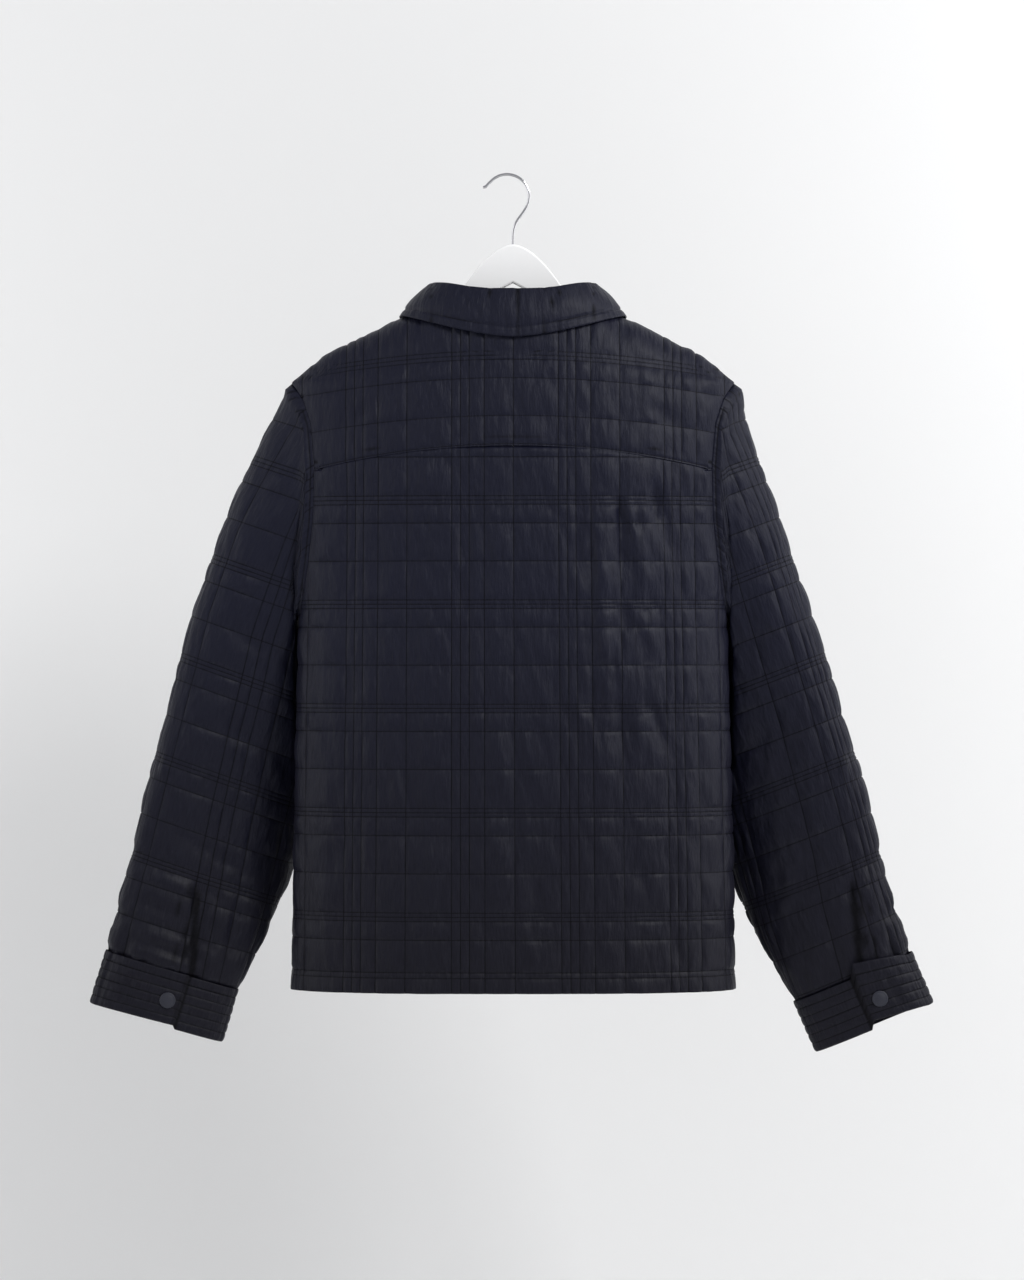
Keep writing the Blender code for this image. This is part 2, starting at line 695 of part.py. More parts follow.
def neck_half_loop(count):
    """The neck seam from the centre front round one side to the centre back, on the +X side."""
    route = [(x, 1.0, shoulder_or_neck(x)) for x in np.linspace(1.0, NECK_HALF, 16)]
    for x in np.linspace(NECK_HALF, NECK_TURN, 8)[1:]:
        route.append((x, 1.0, ridge(x) - YOKE_OVER * (x - NECK_TURN) / (NECK_HALF - NECK_TURN)))
    route += [(x, -1.0, neck_back(x)) for x in np.linspace(NECK_TURN - 0.5, 0.0, 24)]
    points = np.array([(x, side * torso_depth(x, min(z, ridge(x))), min(z, ridge(x))) for x, side, z in route])
    arc = np.concatenate([[0.0], np.cumsum(np.linalg.norm(np.diff(points, axis=0), axis=1))])
    at = np.linspace(0.0, arc[-1], count)
    return np.stack([np.interp(at, arc, points[:, k]) for k in range(3)], axis=1)


STAND_LEAN = 0.075
COLLAR_STATIONS = 17


def both_sides(half):
    """A whole row from its +X half, which runs from the centre front to the centre back."""
    left = half * np.array([-1.0, 1.0, 1.0])
    whole = np.concatenate([half, left[::-1][1:]])
    whole[:, 0] += CENTRE_X
    return whole


def flat_out(points):
    """Level directions away from the neck's middle."""
    out = (points - np.array([CENTRE_X, 0.0, 0.0])) * np.array([1.0, 2.2, 0.0])
    return out / np.linalg.norm(out, axis=1, keepdims=True)


# Height of the stand by share of the half loop from the centre front
STAND_HEIGHT = np.array(
    [
        (0.00, 22.0),
        (0.40, 22.0),
        (0.56, 18.5),
        (0.63, 17.5),
        (0.71, 26.5),
        (0.81, 31.5),
        (1.00, 33.5),
    ]
)


def stand_height():
    share = np.linspace(0.0, 1.0, COLLAR_STATIONS)
    return np.interp(share, STAND_HEIGHT[:, 0], STAND_HEIGHT[:, 1])


def stand_row(level):
    """Half a row of the stand at a share of its height."""
    half = neck_half_loop(COLLAR_STATIONS)
    lean = 1.0 - STAND_LEAN * level
    raised = half * np.array([lean, lean, 1.0])
    raised[:, 2] += 0.9 + level * stand_height()
    return raised


def collar_stand():
    base = np.stack([both_sides(stand_row(level)) for level in np.linspace(0.0, 1.0, 5)])
    normals = np.stack([flat_out(row) for row in base])
    swells = np.zeros(base.shape[:2])
    wall("collar_stand", base, swells, NAVY, normals=normals, keep=2)


# Lower edge of the fall on the front, by share of the half loop from the centre front: share, lateral, height
FALL_EDGE = np.array(
    [
        (0.00, 64.0, -258.0),
        (0.18, 84.0, -222.0),
        (0.36, 103.0, -180.0),
        (0.50, 108.5, -151.0),
        (0.56, 108.5, -140.6),
    ]
)
FALL_RIDGE = 0.56         # past this share the edge runs on the back
FALL_MIDDLE_Z = -165.0    # height of the edge at the middle of the back
FALL_CLEAR = 5.6


def fall_edge_row():
    share = np.linspace(0.0, 1.0, COLLAR_STATIONS)
    points = []
    for at in share:
        x = np.interp(at, FALL_EDGE[:, 0], FALL_EDGE[:, 1])
        z = np.interp(at, FALL_EDGE[:, 0], FALL_EDGE[:, 2])
        if at > FALL_RIDGE:
            widest, highest = FALL_EDGE[-1, 1:]
            x = widest * (1.0 - ((at - FALL_RIDGE) / (1.0 - FALL_RIDGE)) ** 1.25)
            z = FALL_MIDDLE_Z + (highest - FALL_MIDDLE_Z) * (x / widest) ** 1.6
        z = min(z, ridge(x))
        side = 1.0 if at < FALL_RIDGE else -1.0
        point = np.array([x, side * torso_depth(x, z), z])
        points.append(point + FALL_CLEAR * torso_normal(point + np.array([CENTRE_X, 0.0, 0.0])))
    return np.array(points)


def collar_fall():
    top = stand_row(1.0)
    out = flat_out(top + np.array([CENTRE_X, 0.0, 0.0]))
    top = top + out * 2.1 + np.array([0.0, 0.0, 1.6])
    edge = fall_edge_row()
    rows = []
    for share in np.linspace(0.0, 1.0, 8):
        bulge = 3.4 * sin(pi * min(share * 1.1, 1.0)) * np.ones((COLLAR_STATIONS, 1))
        rows.append(both_sides(top * (1.0 - share) + edge * share + out * bulge))
    base = np.stack(rows)
    along = np.gradient(base, axis=0)
    around = np.gradient(base, axis=1)
    normals = np.cross(around, along)
    normals /= np.linalg.norm(normals, axis=2, keepdims=True)
    normals *= np.sign((normals[4] * flat_out(base[4])).sum(axis=1).mean())
    swells = np.zeros(base.shape[:2])
    wall("collar_fall", base, swells, NAVY, normals=normals, keep=2)


HANGER_THICK = 12.0
HANGER_HALF = 190.0
HANGER_PEAK = -68.9
DOME_HALF = 48.0            # half width of the dome at the hanger's middle
DOME_DROP = 41.0            # and how far it falls away over that
HANGER_NOTCH = -107.3
HANGER_UNDER = 0.53       # slope of the lower edge
HANGER_CHAMFER = 2.5
HANGER_SETTLE = 1.7       # and this much lower
HANGER_DIP = 8.5          # more below the neck's corners
HANGER_ROOM = 12.0         # the hanger's top lies where the torso has this half depth


def hanger_top(x):
    away = abs(x)
    if away <= DOME_HALF:
        return HANGER_PEAK - DOME_DROP * (away / DOME_HALF) ** 1.75
    if away < NECK_TURN:
        low = HANGER_PEAK - DOME_DROP
        return low + (hanger_top(NECK_TURN) - low) * (away - DOME_HALF) / (NECK_TURN - DOME_HALF)
    z = ridge(x)
    while torso_depth(x, z) < HANGER_ROOM:
        z -= 0.2
    return z - HANGER_SETTLE - HANGER_DIP * min(max((112.0 - away) / 24.0, 0.0), 1.0)


def hanger_body():
    places = list(np.linspace(0.0, HANGER_HALF, 24))
    places = [-x for x in reversed(places[1:])] + places
    half = HANGER_THICK / 2
    cut = HANGER_CHAMFER
    points = []
    for x in places:
        high = hanger_top(x)
        low = HANGER_NOTCH - HANGER_UNDER * abs(x)
        close = 1.0 - 0.35 * max(abs(x) / HANGER_HALF - 0.96, 0.0) / 0.04
        middle = (high + low) / 2
        high, low = middle + (high - middle) * close, middle + (low - middle) * close
        outline = [(-half, low + cut), (-half, high - cut), (cut - half, high), (half - cut, high)]
        outline += [(half, high - cut), (half, low + cut), (half - cut, low), (cut - half, low)]
        points += [(CENTRE_X - 0.2 + x, y, z) for y, z in outline]
    faces = []
    for k in range(len(places) - 1):
        for i in range(8):
            j = (i + 1) % 8
            faces.append((8 * k + i, 8 * k + j, 8 * k + 8 + j, 8 * k + 8 + i))
    faces.append(tuple(range(8)))
    faces.append(tuple(range(8 * len(places) - 8, 8 * len(places))))
    add_mesh("hanger_body", points, faces, WHITE)


HOOK_RADIUS = 22.0
WIRE_RADIUS = 1.5
STEM_X = 5.7


def hook_route():
    """The wire from its turned end, over the top and down the stem."""
    middle = WIRE_RADIUS - HOOK_RADIUS
    tail = [(-24.0, middle + 9.0), (-22.2, middle + 9.1), (-20.4, middle + 10.5), (-18.4, middle + 13.0)]
    arc = [(HOOK_RADIUS * cos(a), middle + HOOK_RADIUS * sin(a)) for a in np.radians(np.arange(138, -1, -12))]
    stem = [(21.6, -24.5), (20.2, -29.5), (17.6, -34.5), (14.4, -39.0), (11.0, -43.4), (8.0, -48.6)]
    stem += [(6.2, -54.5), (STEM_X, -61.0), (STEM_X, HANGER_PEAK + 0.3)]
    return tail + arc + stem


def hook_wire():
    curve = bpy.data.curves.new("hook_wire", "CURVE")
    curve.dimensions = "3D"
    curve.bevel_depth = WIRE_RADIUS * MM
    curve.bevel_resolution = 2
    curve.use_fill_caps = True
    route = hook_route()
    line = curve.splines.new("POLY")
    line.points.add(len(route) - 1)
    for k, (point, (x, z)) in enumerate(zip(line.points, route)):
        point.co = (x * MM, 0.0, z * MM, 1.0)
        point.radius = 1.35 if k < 2 else 1.0
    curve.materials.append(STEEL)
    made = bpy.data.objects.new("hook_wire", curve)
    bpy.context.scene.collection.objects.link(made)


def front_snaps():
    for k, z in enumerate(np.linspace(-284.0, -764.0, 6)):
        seat = np.array([CENTRE_X, torso_depth(0.0, z) + LAP_LIFT + 2 * SEAM_GAP, z])
        snap(f"front_snap_{k + 1}", seat, np.array([0.0, 1.0, 0.0]))


back_panel()
front_panel("front_left", -1.0, LAP, LAP_LIFT)
front_panel("front_right", 1.0, LAP, 0.0)
yoke()
sleeve("sleeve_left", SLEEVE_LEFT, -1.0, 77.0)
sleeve("sleeve_right", SLEEVE_RIGHT, 1.0, 14.0)
cuff("cuff_left", SLEEVE_LEFT, -1.0, 0.63, 0.52)
cuff("cuff_right", SLEEVE_RIGHT, 1.0, 0.51, 0.36)
collar_stand()
collar_fall()
hanger_body()
hook_wire()
front_snaps()
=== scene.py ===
"""Looks of a padded, windowpane-quilted shacket that hangs on a flat wooden hanger, seen from its back.

Shapes are worked out in millimetres and become metres where a mesh is made. The cloth coordinates of each
piece are kept as its UV map, and its stitched lines, with painted shade in their grooves and along the lifted
flaps' edges, as a point attribute.
"""

from math import cos, pi, radians, sin, tau

import bmesh
import bpy
import numpy as np
from bpy.props import FloatProperty, FloatVectorProperty, PointerProperty
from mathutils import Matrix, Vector


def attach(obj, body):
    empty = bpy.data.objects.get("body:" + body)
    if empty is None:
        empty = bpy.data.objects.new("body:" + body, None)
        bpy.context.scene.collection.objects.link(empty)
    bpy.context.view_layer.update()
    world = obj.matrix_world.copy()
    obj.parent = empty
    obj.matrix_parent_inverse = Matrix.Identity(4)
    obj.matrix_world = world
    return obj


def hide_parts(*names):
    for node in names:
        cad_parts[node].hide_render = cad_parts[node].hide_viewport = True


bl_info = {
    "name": "Quilted shacket on a hanger",
    "version": (1, 0, 0),
    "blender": (4, 5, 0),
    "location": "3D View > Sidebar > Shacket",
    "description": "Builds the cloth, snaps, hanger and studio of a quilted shirt jacket",
    "category": "Add Mesh",
}

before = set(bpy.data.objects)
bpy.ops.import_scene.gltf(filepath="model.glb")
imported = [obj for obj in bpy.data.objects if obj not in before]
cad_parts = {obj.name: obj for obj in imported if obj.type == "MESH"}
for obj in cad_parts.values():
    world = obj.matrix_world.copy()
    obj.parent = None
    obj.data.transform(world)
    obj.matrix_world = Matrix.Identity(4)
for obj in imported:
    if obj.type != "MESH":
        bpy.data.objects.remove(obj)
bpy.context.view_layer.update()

MM = 0.001
CENTRE_X = 5.9
HEM_Z = -812.0
YOKE_SEAM_Z = -272.8
ARMPIT_Z = -440.0
SHOULDER_Z = -207.0
YOKE_OVER = 30.0
NECK_HALF = 95.0
NECK_TURN = 88.0      # outside this the neck's edge turns up over the shoulder
LAP_LIFT = 5.0
LAP = 16.0
CUFF_HEIGHT = 56.0
CLOTH_THICK = 1.3
CLEAR = 5.0           # room between a sleeve and the torso
SEAM = 0.15           # from a piece's edge to the seam line
TUCK = 1.4            # the back's top edge goes this far under the yoke
CROWD = 0.45          # least spacing of points crowded at an edge

REPEAT_X = 105.1
REPEAT_Z = 102.6
TRIPLE_X = -60.5
TRIPLE_Z = -741.1     # lowest line of the lowest triple
YOKE_TRIPLE_Z = -187.3
LINES_X = (0.0, 8.6, 17.2, 32.0, 60.8)
LINES_Z = (0.0, 4.2, 8.4, 46.8, 84.2)
HEM_SPREAD = 0.034    # the lines stand this share further apart at the hem
SIDE_ARC = 262.0      # the longest arc from the centre to a side seam
HEM_STITCH = 20.5     # the hem's sewn line above its edge
HEM_ROWS = HEM_Z + np.array([0.8, 19.6, HEM_STITCH, 21.4])
SEEN_STEP = 4.2       # most distance between points on the seen panels
HIDDEN_STEP = 5.0     # and on the hidden ones
SECTION_STEP = 2.0    # between the heights of the torso's section tables
SEAM_FALL = 21.0      # the yoke seam falls this much toward the armholes
SEAM_FALL_AT = 190.0
LINES_FALL = 14.0     # and the quilting lines of the yoke this much
BELOW_SEAM = -90.0    # any height well under the yoke seam
STITCH_HALF = 1.0     # half width of the dip along a sewn line

# Sections of the torso: height, half width, half depth and the power of the curve
TORSO = np.array(
    [
        (-812.0, 221.0, 72.0, 2.7),
        (-704.0, 219.5, 72.0, 2.7),
        (-524.0, 216.0, 70.0, 2.6),
        (-440.0, 213.0, 68.0, 2.4),
        (-384.0, 217.0, 66.5, 2.3),
        (-300.0, 222.0, 63.0, 2.2),
        (-230.0, 225.0, 58.0, 2.0),
        (-207.0, 222.0, 56.0, 1.9),
        (-194.0, 207.0, 54.5, 1.8),
        (-179.0, 186.0, 53.0, 1.8),
        (-164.0, 157.0, 51.0, 1.9),
        (-152.0, 132.0, 49.5, 2.0),
        (-140.0, 107.5, 48.0, 2.0),
        (-128.0, 86.0, 46.5, 2.0),
        (-100.0, 40.0, 44.0, 2.0),
    ]
)
# The armhole's edge: height and distance from the middle
ARMHOLE = np.array(
    [
        (-440.0, 213.0),
        (-432.0, 211.6),
        (-420.0, 208.8),
        (-384.0, 203.0),
        (-340.0, 198.5),
        (-290.0, 197.5),
        (-249.0, 201.0),
        (-225.0, 209.0),
        (-213.0, 217.0),
        (-207.0, 222.0),
    ]
)
# Each ring of a sleeve: height of its outer edge, that edge's distance out, width, thickness, slope, turn
SLEEVE_LEFT = np.array(
    [
        (-774.0, 405.0, 135.0, 34.0, 17.2, 7.0),
        (-705.0, 387.0, 152.0, 44.0, 18.2, 14.0),
        (-660.0, 376.0, 162.0, 50.0, 18.6, 18.0),
        (-614.0, 365.0, 170.0, 55.0, 18.6, 21.0),
        (-524.0, 342.0, 180.0, 62.0, 18.6, 22.0),
        (-434.0, 319.0, 178.0, 70.0, 18.6, 19.0),
        (-345.0, 286.0, 174.0, 74.0, 18.6, 12.0),
        (-300.0, 267.0, 170.0, 72.0, 18.6, 8.0),
        (-254.0, 247.0, 160.0, 66.0, 18.6, 3.0),
        (-207.0, 224.0, 150.0, 56.0, 18.6, 0.0),
    ]
)
SLEEVE_RIGHT = np.array(
    [
        (-776.0, 397.0, 125.0, 34.0, 23.5, 7.0),
        (-705.0, 374.0, 143.0, 44.0, 22.0, 14.0),
        (-660.0, 363.0, 154.0, 50.0, 21.0, 18.0),
        (-614.0, 350.5, 164.0, 55.0, 20.5, 21.0),
        (-524.0, 324.0, 176.0, 62.0, 20.0, 22.0),
        (-434.0, 296.0, 174.0, 70.0, 20.0, 19.0),
        (-345.0, 267.0, 170.0, 74.0, 20.0, 12.0),
        (-300.0, 251.5, 166.0, 72.0, 20.0, 8.0),
        (-254.0, 236.5, 160.0, 66.0, 20.0, 3.0),
        (-207.0, 224.0, 150.0, 56.0, 20.0, 0.0),
    ]
)
SLEEVE_TRIPLE_Z = -584.0
SLEEVE_REPEAT = 98.5

# Creases listed one by one on the back: start x and z, end x and z, half width, depth (a ridge is below 0)
BACK_CREASES = np.array(
    [
        (62.0, -300.0, 74.0, -470.0, 7.0, 2.6),
        (84.0, -330.0, 92.0, -520.0, 8.0, -1.8),
        (104.0, -300.0, 126.0, -455.0, 7.0, 2.4),
        (118.0, -350.0, 140.0, -530.0, 9.0, -1.6),
        (96.0, -480.0, 112.0, -610.0, 8.0, 1.8),
        (134.0, -290.0, 168.0, -400.0, 7.0, 1.6),
        (150.0, -420.0, 160.0, -600.0, 10.0, 1.4),
        (-76.0, -274.0, -74.0, -300.0, 4.0, 2.0),
        (-72.0, -276.0, -60.0, -296.0, 3.5, 1.6),
        (-80.0, -276.0, -98.0, -298.0, 3.5, 1.5),
        (-150.0, -300.0, -170.0, -460.0, 9.0, 1.8),
        (-168.0, -420.0, -150.0, -640.0, 12.0, 1.6),
        (-110.0, -520.0, -96.0, -700.0, 14.0, 1.2),
        (-20.0, -560.0, -8.0, -740.0, 16.0, -1.3),
        (30.0, -640.0, 24.0, -790.0, 13.0, 1.4),
        (120.0, -640.0, 136.0, -800.0, 14.0, 1.5),
        (180.0, -560.0, 176.0, -760.0, 10.0, -1.6),
        (-190.0, -600.0, -186.0, -780.0, 10.0, -1.5),
        (-40.0, -300.0, -30.0, -430.0, 13.0, 1.0),
    ]
)
# The same on a sleeve: start round and up, end round and up, half width, depth
SLEEVE_CREASES = np.array(
    [
        (-150.0, -420.0, -60.0, -450.0, 7.0, 2.2),
        (-160.0, -450.0, -70.0, -500.0, 7.0, 1.8),
        (-140.0, -640.0, -50.0, -672.0, 6.0, 2.4),
        (-150.0, -668.0, -40.0, -694.0, 6.0, 2.6),
        (-140.0, -700.0, -70.0, -716.0, 5.0, 2.2),
        (-60.0, -716.0, 10.0, -728.0, 5.0, 1.8),
        (-130.0, -560.0, -40.0, -600.0, 9.0, 1.4),
        (60.0, -440.0, 150.0, -470.0, 8.0, 2.0),
        (50.0, -520.0, 140.0, -545.0, 9.0, 2.0),
        (40.0, -640.0, 140.0, -670.0, 7.0, 2.2),
        (-110.0, -300.0, -96.0, -400.0, 10.0, 1.8),
        (90.0, -300.0, 100.0, -400.0, 10.0, 1.8),
    ]
)


def scattered(count, u_range, v_range, run, rise, half, depth, seed):
    """Rows for many small creases of about one slant, spread at random over a region."""
    random = np.random.default_rng(seed)
    u = random.uniform(*u_range, count)
    v = random.uniform(v_range[1], v_range[0], count)
    size = random.uniform(0.6, 1.3, (4, count))
    ends = (u + run * size[0] * random.choice([0.5, 1.0, 1.4], count), v + rise * size[0])
    deep = depth * size[2] * random.choice([1.0, 1.0, -0.8], count)
    return np.stack([u, v, *ends, half * size[1], deep], axis=1)


BACK_CREASES = np.concatenate(
    [
        BACK_CREASES,
        scattered(54, (60.0, 148.0), (-300.0, -540.0), 9.0, -46.0, 3.8, 2.3, 71),
        scattered(40, (-200.0, 60.0), (-290.0, -700.0), 7.0, -50.0, 4.6, 1.2, 72),
        scattered(16, (150.0, 210.0), (-300.0, -780.0), 8.0, -50.0, 4.6, 1.1, 73),
        scattered(22, (-210.0, 210.0), (-560.0, -790.0), 5.0, -40.0, 5.0, 0.9, 74),
    ]
)
SLEEVE_CREASES = np.concatenate(
    [
        SLEEVE_CREASES,
        scattered(40, (-170.0, 170.0), (-600.0, -760.0), 36.0, -10.0, 4.2, 1.8, 75),
        scattered(30, (-170.0, 170.0), (-300.0, -600.0), 26.0, -22.0, 4.6, 1.3, 76),
        scattered(16, (0.0, 90.0), (-690.0, -770.0), 4.0, -34.0, 3.6, 1.6, 77),
    ]
)


def unit(value):
    """The value kept between 0 and 1."""
    return np.clip(value, 0.0, 1.0)


def bell(off, half):
    """1 on a line, falling smoothly to 0 some half widths away from it."""
    return np.exp(-((off / half) ** 2))


def within(off, half):
    """1 on a line, falling straight to 0 one half width away from it."""
    return unit(1.0 - np.abs(off) / half)


def read(table, z):
    """The other columns of a table at heights z."""
    return [np.interp(z, table[:, 0], table[:, k]) for k in range(1, table.shape[1])]


def section_tables():
    """Lateral distances, depths and whole arc lengths of the torso's sections over a grid of heights."""
    heights = np.arange(HEM_Z, -99.0, SECTION_STEP)
    shares = np.linspace(0.0, 1.0, 241)
    angle = np.linspace(0.0, pi / 2, 400)
    across, through, whole = [], [], []
    for z in heights:
        half, depth, power = read(TORSO, z)
        x = half * np.sin(angle) ** (2.0 / power)
        y = depth * np.cos(angle).clip(0.0) ** (2.0 / power)
        arc = np.concatenate([[0.0], np.cumsum(np.hypot(np.diff(x), np.diff(y)))])
        across.append(np.interp(shares * arc[-1], arc, x))
        through.append(np.interp(shares * arc[-1], arc, y))
        whole.append(arc[-1])
    return heights, np.array(across), np.array(through), np.array(whole)


HEIGHTS, ACROSS, THROUGH, WHOLE = section_tables()


def look_up(table, z, share):
    """A section table's value at heights z and shares of the arc from the centre."""
    row = np.clip((z - HEIGHTS[0]) / SECTION_STEP, 0.0, len(HEIGHTS) - 1.001)
    column = unit(share) * (table.shape[1] - 1)
    column = np.minimum(column, table.shape[1] - 1.001)
    i, j = row.astype(int), column.astype(int)
    a, b = row - i, column - j
    low = table[i, j] * (1 - b) + table[i, j + 1] * b
    high = table[i + 1, j] * (1 - b) + table[i + 1, j + 1] * b
    return low * (1 - a) + high * a


def at_arc(s, z, side):
    """Points of the torso at arc length s from the centre, on its front (side 1) or back (side -1)."""
    share = np.abs(s) / np.interp(z, HEIGHTS, WHOLE)
    x = np.sign(s) * look_up(ACROSS, z, share)
    y = side * look_up(THROUGH, z, share)
    return np.stack([CENTRE_X + x, y, z], axis=-1)


def edge_arcs():
    """Arc length from the centre to the side seam or the armhole, over the grid of heights."""
    edges = WHOLE.copy()
    for k, z in enumerate(HEIGHTS):
        if ARMPIT_Z < z <= SHOULDER_Z:
            shares = np.linspace(0.0, 1.0, ACROSS.shape[1])
            edges[k] = np.interp(read(ARMHOLE, z)[0], ACROSS[k], shares * WHOLE[k])
    return edges


EDGES = edge_arcs()


def edge_arc(z):
    return np.interp(z, HEIGHTS, EDGES) - SEAM


def torso_depth(x, z):
    half, depth, power = read(TORSO, z)
    share = unit(np.abs(x) / half)
    return depth * (1.0 - share**power) ** (1.0 / power)


def torso_normal(point):
    half, depth, power = read(TORSO, point[..., 2])
    share_x = unit(np.abs(point[..., 0]) / half)
    share_y = unit(np.abs(point[..., 1]) / depth)
    normal = np.stack(
        [
            np.sign(point[..., 0]) * share_x ** (power - 1.0) / half,
            np.sign(point[..., 1]) * share_y ** (power - 1.0) / depth,
            np.full_like(half, 1e-5),
        ],
        axis=-1,
    )
    return normal / np.linalg.norm(normal, axis=-1, keepdims=True)


def ridge(x):
    """Height of the shoulder ridge."""
    slope = TORSO[TORSO[:, 0] >= SHOULDER_Z]
    return np.interp(np.abs(x), slope[::-1, 1], slope[::-1, 0])


def neck_back(x):
    """Height of the neck's edge at the back."""
    return -152.0 + 22.0 * np.minimum(np.abs(x) / NECK_TURN, 1.0) ** 2.6


def shoulder_or_neck(x):
    """Height of a front's upper edge, along the yoke and round the neck."""
    away = np.abs(x)
    over = ridge(NECK_HALF) - YOKE_OVER
    neck = -205.0 + (over + 205.0) * np.minimum(away / NECK_HALF, 1.0) ** 1.8
    return np.where(away >= NECK_HALF, ridge(away) - YOKE_OVER, neck)


def fall_away(amount, x):
    """A fall that grows outward to the given amount."""
    return amount * (np.minimum(np.abs(x), SEAM_FALL_AT + 10.0) / SEAM_FALL_AT) ** 2


def seam_fall(x):
    """How far the yoke seam lies below its middle at lateral distance x."""
    return fall_away(SEAM_FALL, x)


def squeeze(lines, low, high, axis):
    """A grid of lines kept between two limits, the rest crowded just inside them in order."""
    shape = [1, 1]
    shape[axis] = len(lines)
    order = np.arange(len(lines)).reshape(shape)
    placed = np.minimum(np.reshape(lines, shape), high - CROWD * (len(lines) - 1 - order))
    return np.maximum(placed, low + CROWD * order)


def fine_lines(first, repeat, offsets, low, high, step):
    """Places of points: three at each stitched line, and others at most a step apart between them."""
    marks = []
    for k in range(int((low - first) // repeat) - 1, int((high - first) // repeat) + 2):
        marks += [first + k * repeat + offset for offset in offsets]
    marks = sorted(m for m in marks if low + 2.0 < m < high - 2.0)
    places = [low]
    for mark in marks + [high]:
        start = places[-1]
        end = mark - STITCH_HALF if mark != high else high
        count = max(int(np.ceil((end - start) / step)), 1)
        places += list(np.linspace(start, end, count + 1)[1:])
        if mark != high:
            places += [mark, mark + STITCH_HALF]
    return np.array(places)


def line_facts(value, first, repeat, offsets):
    """For each value the swell between its two lines, and the nearer line's distance and number."""
    phase = (value - first) % repeat
    lines = np.array(list(offsets) + [repeat])
    k = np.clip(np.searchsorted(lines, phase, side="right") - 1, 0, len(offsets) - 1)
    span = lines[k + 1] - lines[k]
    share = unit((phase - lines[k]) / span)
    swell = (4.0 * share * (1.0 - share)) ** 0.75 * np.minimum(1.0, span / 24.0)
    distance = np.minimum(phase - lines[k], lines[k + 1] - phase)
    number = np.floor((value - first) / repeat) * len(offsets) + k + (share > 0.5)
    return swell, distance, number


def noise(u, v, size_u, size_v, seed):
    """Smooth noise between -1 and 1 over two coordinates."""
    table = np.random.default_rng(seed).uniform(-1.0, 1.0, (128, 128))
    a, b = np.asarray(u) / size_u, np.asarray(v) / size_v
    i, j = np.floor(a).astype(int), np.floor(b).astype(int)
    p, q = a - i, b - j
    p, q = p * p * (3 - 2 * p), q * q * (3 - 2 * q)
    near = table[i % 128, j % 128] * (1 - q) + table[i % 128, (j + 1) % 128] * q
    far = table[(i + 1) % 128, j % 128] * (1 - q) + table[(i + 1) % 128, (j + 1) % 128] * q
    return near * (1 - p) + far * p


def creases(u, v, table):
    """Depth of listed troughs and ridges, fading toward their ends."""
    depth = np.zeros(np.shape(u))
    for start_u, start_v, end_u, end_v, half, deep in table:
        way = np.array([end_u - start_u, end_v - start_v])
        length = np.hypot(*way)
        way /= length
        along = (u - start_u) * way[0] + (v - start_v) * way[1]
        wander = noise(along, np.full_like(along, start_u), 40.0, 1.0, 5) * half * 0.6
        off = (u - start_u) * way[1] - (v - start_v) * way[0] + wander
        share = unit(along / length)
        depth += deep * np.sin(pi * share) ** 0.8 * bell(off, half)
    return depth


def quilting(across, along, first_x, first_z, puff, seed):
    """Height of the padded cloth, and how far each point belongs to a stitched line, which the shader darkens
    as thread with painted shade in its groove.
    """
    swell_x, off_x, number_x = line_facts(across, first_x, REPEAT_X, LINES_X)
    swell_z, off_z, number_z = line_facts(along, first_z, REPEAT_Z, LINES_Z)
    height = puff * (swell_x * swell_z) ** 0.8
    height *= 1.0 + 0.4 * noise(across, along, 26.0, 34.0, seed)
    gather = noise(across, number_z * 7.3, 4.6, 1.0, seed + 1) * np.exp(-off_z / 8.0)
    gather += 0.5 * noise(along, number_x * 5.1, 6.0, 1.0, seed + 2) * np.exp(-off_x / 5.0)
    height += 0.95 * gather * unit(swell_x * swell_z * 5.0)
    inside = unit(swell_x * swell_z * 3.0)
    height += 0.8 * noise(across + 0.3 * along, along, 8.0, 34.0, seed + 3) * inside
    height += 0.35 * noise(across - 0.4 * along, along, 11.0, 22.0, seed + 4) * inside
    sewn_and_shade = np.maximum(1.0 - off_x / STITCH_HALF, 1.0 - off_z / STITCH_HALF).clip(0.0, 1.0)
    return height, sewn_and_shade


def finite_normals(base, closed=False):
    """Unit normals of a grid, from the differences between its points."""
    along = np.gradient(base, axis=0)
    if closed:
        around = (np.roll(base, -1, axis=1) - np.roll(base, 1, axis=1)) / 2
    else:
        around = np.gradient(base, axis=1)
    normals = np.cross(around, along)
    length = np.linalg.norm(normals, axis=2, keepdims=True)
    return normals / np.maximum(length, 1e-9)


def outward(normals, base, middle):
    """Turns the normals so that most point away from a middle point or line."""
    if np.sign(((base - middle) * normals).sum(axis=2)).sum() < 0:
        return -normals
    return normals


def put(name, mesh):
    """Adds a piece of the object to the scene, on its body."""
    piece = bpy.data.objects.new(name, mesh)
    bpy.context.scene.collection.objects.link(piece)
    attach(piece, "root")
    return piece


